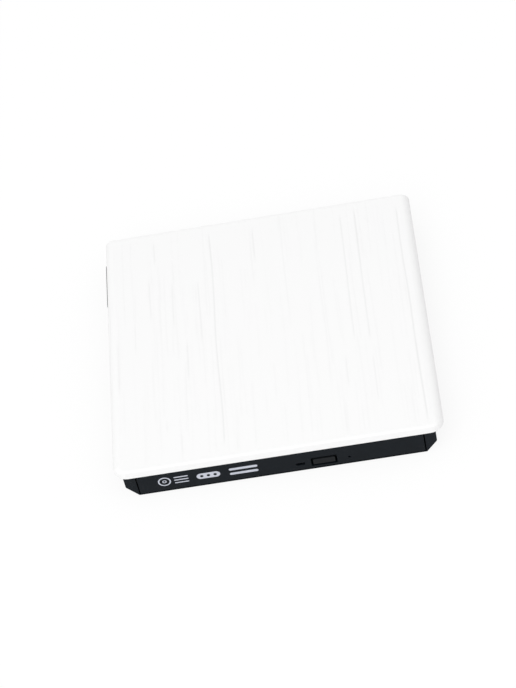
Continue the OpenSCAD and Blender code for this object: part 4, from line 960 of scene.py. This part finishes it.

# %% [markdown]
# ## The flat cable
# A flat cable folds back on itself under the tray and rolls along as the tray comes out: its fold
# moves half as far as the tray. Here it is two fixed strips in the closed pose: the lower one runs
# from the board round the fold, and the upper one runs from the fold to the tray's connector.

# %% Flat cable
flex_low, flex_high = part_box("flex_cable")
FLEX_T = 0.15 * MM
FOLD_STEPS = 12
RUN_STEPS = 48
fold_r = (flex_high.z - flex_low.z) / 2 - FLEX_T / 2
fold_y = flex_low.y + fold_r + FLEX_T / 2
fold_z = (flex_low.z + flex_high.z) / 2
tray_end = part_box("flex_connector")[0].y


def film(path):
    """A flat strip: a rectangle as wide as the cable, carried along a path of (y, z) points."""
    path = np.asarray(path)
    heading = np.gradient(path, axis=0)
    heading /= np.linalg.norm(heading, axis=1, keepdims=True)
    lift = np.stack([-heading[:, 1], heading[:, 0]], axis=1) * FLEX_T / 2
    sides = ((flex_low.x, 1), (flex_high.x, 1), (flex_high.x, -1), (flex_low.x, -1))
    grid = np.stack([np.insert(path + up * lift, 0, x, axis=1) for x, up in sides], axis=1)
    faces = grid_faces(*grid.shape[:2], ring_columns=True)
    last = 4 * len(path) - 4
    return grid, faces + [[0, 1, 2, 3], [last, last + 1, last + 2, last + 3]]


fold = np.linspace(-np.pi / 2, -3 * np.pi / 2, FOLD_STEPS)
fold_path = np.stack([fold_y + fold_r * np.cos(fold), fold_z + fold_r * np.sin(fold)], axis=1)
lower_run = np.linspace(flex_high.y, fold_y, RUN_STEPS, endpoint=False)
upper_run = np.linspace(fold_y, tray_end, RUN_STEPS)
lower_path = np.vstack([np.stack([lower_run, np.full(RUN_STEPS, fold_z - fold_r)], axis=1), fold_path])
upper_path = np.stack([upper_run, np.full(RUN_STEPS, fold_z + fold_r)], axis=1)
lower_film = add_piece("flex_lower_run", *film(lower_path), None, polyimide, "amber_film")
upper_film = add_piece("flex_upper_run", *film(upper_path), None, polyimide, "amber_film")
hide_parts("flex_cable")
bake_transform(lower_film)
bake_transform(upper_film)

# %% [markdown]
# ## Floor and light
# The photograph has a plain white ground and very soft light. More lamps would bleach the cover, so
# the white comes from what the camera sees of floor and sky, and the object itself is lit at a level
# where a colour looks as it is written. Part of the floor's brightness is real reflected light, so
# it keeps a soft shadow under the drive. Mirrored in a glossy face, the floor shows nearly all of its
# shadow, as it would in a room, or the black front would look lit from below.

# %% White sky
SKY_LEVEL = 0.775


def seen_directly(tree):
    """1 for rays that come from the camera, a mirror or clear glass, and 0 for those that light things."""
    path = add(tree, "ShaderNodeLightPath")
    total = add(tree, "ShaderNodeMath", {
        0: path.outputs["Is Camera Ray"], 1: path.outputs["Is Glossy Ray"]}, operation="MAXIMUM")
    total = add(tree, "ShaderNodeMath", {
        0: total.outputs[0], 1: path.outputs["Is Transmission Ray"]}, operation="MAXIMUM")
    return total.outputs[0]


world = bpy.data.worlds.new("white_studio")
world.use_nodes = True
bpy.context.scene.world = world
sky = world.node_tree
sky.nodes.clear()
lit = add(sky, "ShaderNodeBackground", {"Color": srgb("#FFFFFF"), "Strength": SKY_LEVEL})
shown = add(sky, "ShaderNodeBackground", {"Color": srgb("#FFFFFF"), "Strength": 1.0})
blended = add(sky, "ShaderNodeMixShader", {0: seen_directly(sky), 1: lit.outputs[0], 2: shown.outputs[0]})
add(sky, "ShaderNodeOutputWorld", {"Surface": blended.outputs[0]})
print("sky lights the drive at", SKY_LEVEL)

# %% White floor
FLOOR_SHADE = 0.12
MIRRORED_SHADE = 0.9
FLOOR_HALF = 3.0
FLOOR_LINES = 9

floor_finish = bpy.data.materials.new("white_paper_ground")
floor_finish.use_nodes = True
paper = floor_finish.node_tree
paper.nodes.clear()
matt = add(paper, "ShaderNodeBsdfDiffuse", {"Color": srgb("#E6E6E6")})
white = add(paper, "ShaderNodeBsdfDiffuse", {"Color": srgb("#FFFFFF")})
glow = add(paper, "ShaderNodeEmission", {"Color": srgb("#FFFFFF"), "Strength": 1.0})
ray = add(paper, "ShaderNodeLightPath")
share = add(paper, "ShaderNodeMapRange", {
    "Value": ray.outputs["Is Glossy Ray"], "To Min": FLOOR_SHADE, "To Max": MIRRORED_SHADE})
shown = add(paper, "ShaderNodeMixShader", {0: share.outputs[0], 1: glow.outputs[0], 2: white.outputs[0]})
blended = add(paper, "ShaderNodeMixShader", {
    0: seen_directly(paper), 1: matt.outputs[0], 2: shown.outputs[0]})
add(paper, "ShaderNodeOutputMaterial", {"Surface": blended.outputs[0]})

side = np.linspace(-FLOOR_HALF, FLOOR_HALF, FLOOR_LINES)
floor_x, floor_y = np.meshgrid(side, side)
floor_points = np.stack([floor_x, floor_y, np.full_like(floor_x, cad_low.z)], axis=-1)
floor = add_piece("floor", floor_points, grid_faces(FLOOR_LINES, FLOOR_LINES), None, floor_finish)

# %% Soft boxes
def soft_box(name, place, size, watts):
    """A square lamp of a size at a place, both in metres, that faces the drive."""
    lamp = bpy.data.lights.new(name, "AREA")
    lamp.size = size
    lamp.energy = watts
    holder = bpy.data.objects.new(name, lamp)
    holder.matrix_world = Vector(place).to_track_quat("Z", "Y").to_matrix().to_4x4()
    holder.matrix_world.translation = place
    bpy.context.scene.collection.objects.link(holder)


soft_box("key_light", (-0.9, -2.0, 2.24), 2.4, 39.6)
soft_box("side_fill", (0.9, -0.7, 0.8), 0.9, 1.0)
bpy.context.scene.view_settings.view_transform = "Standard"
print("lamps ready")
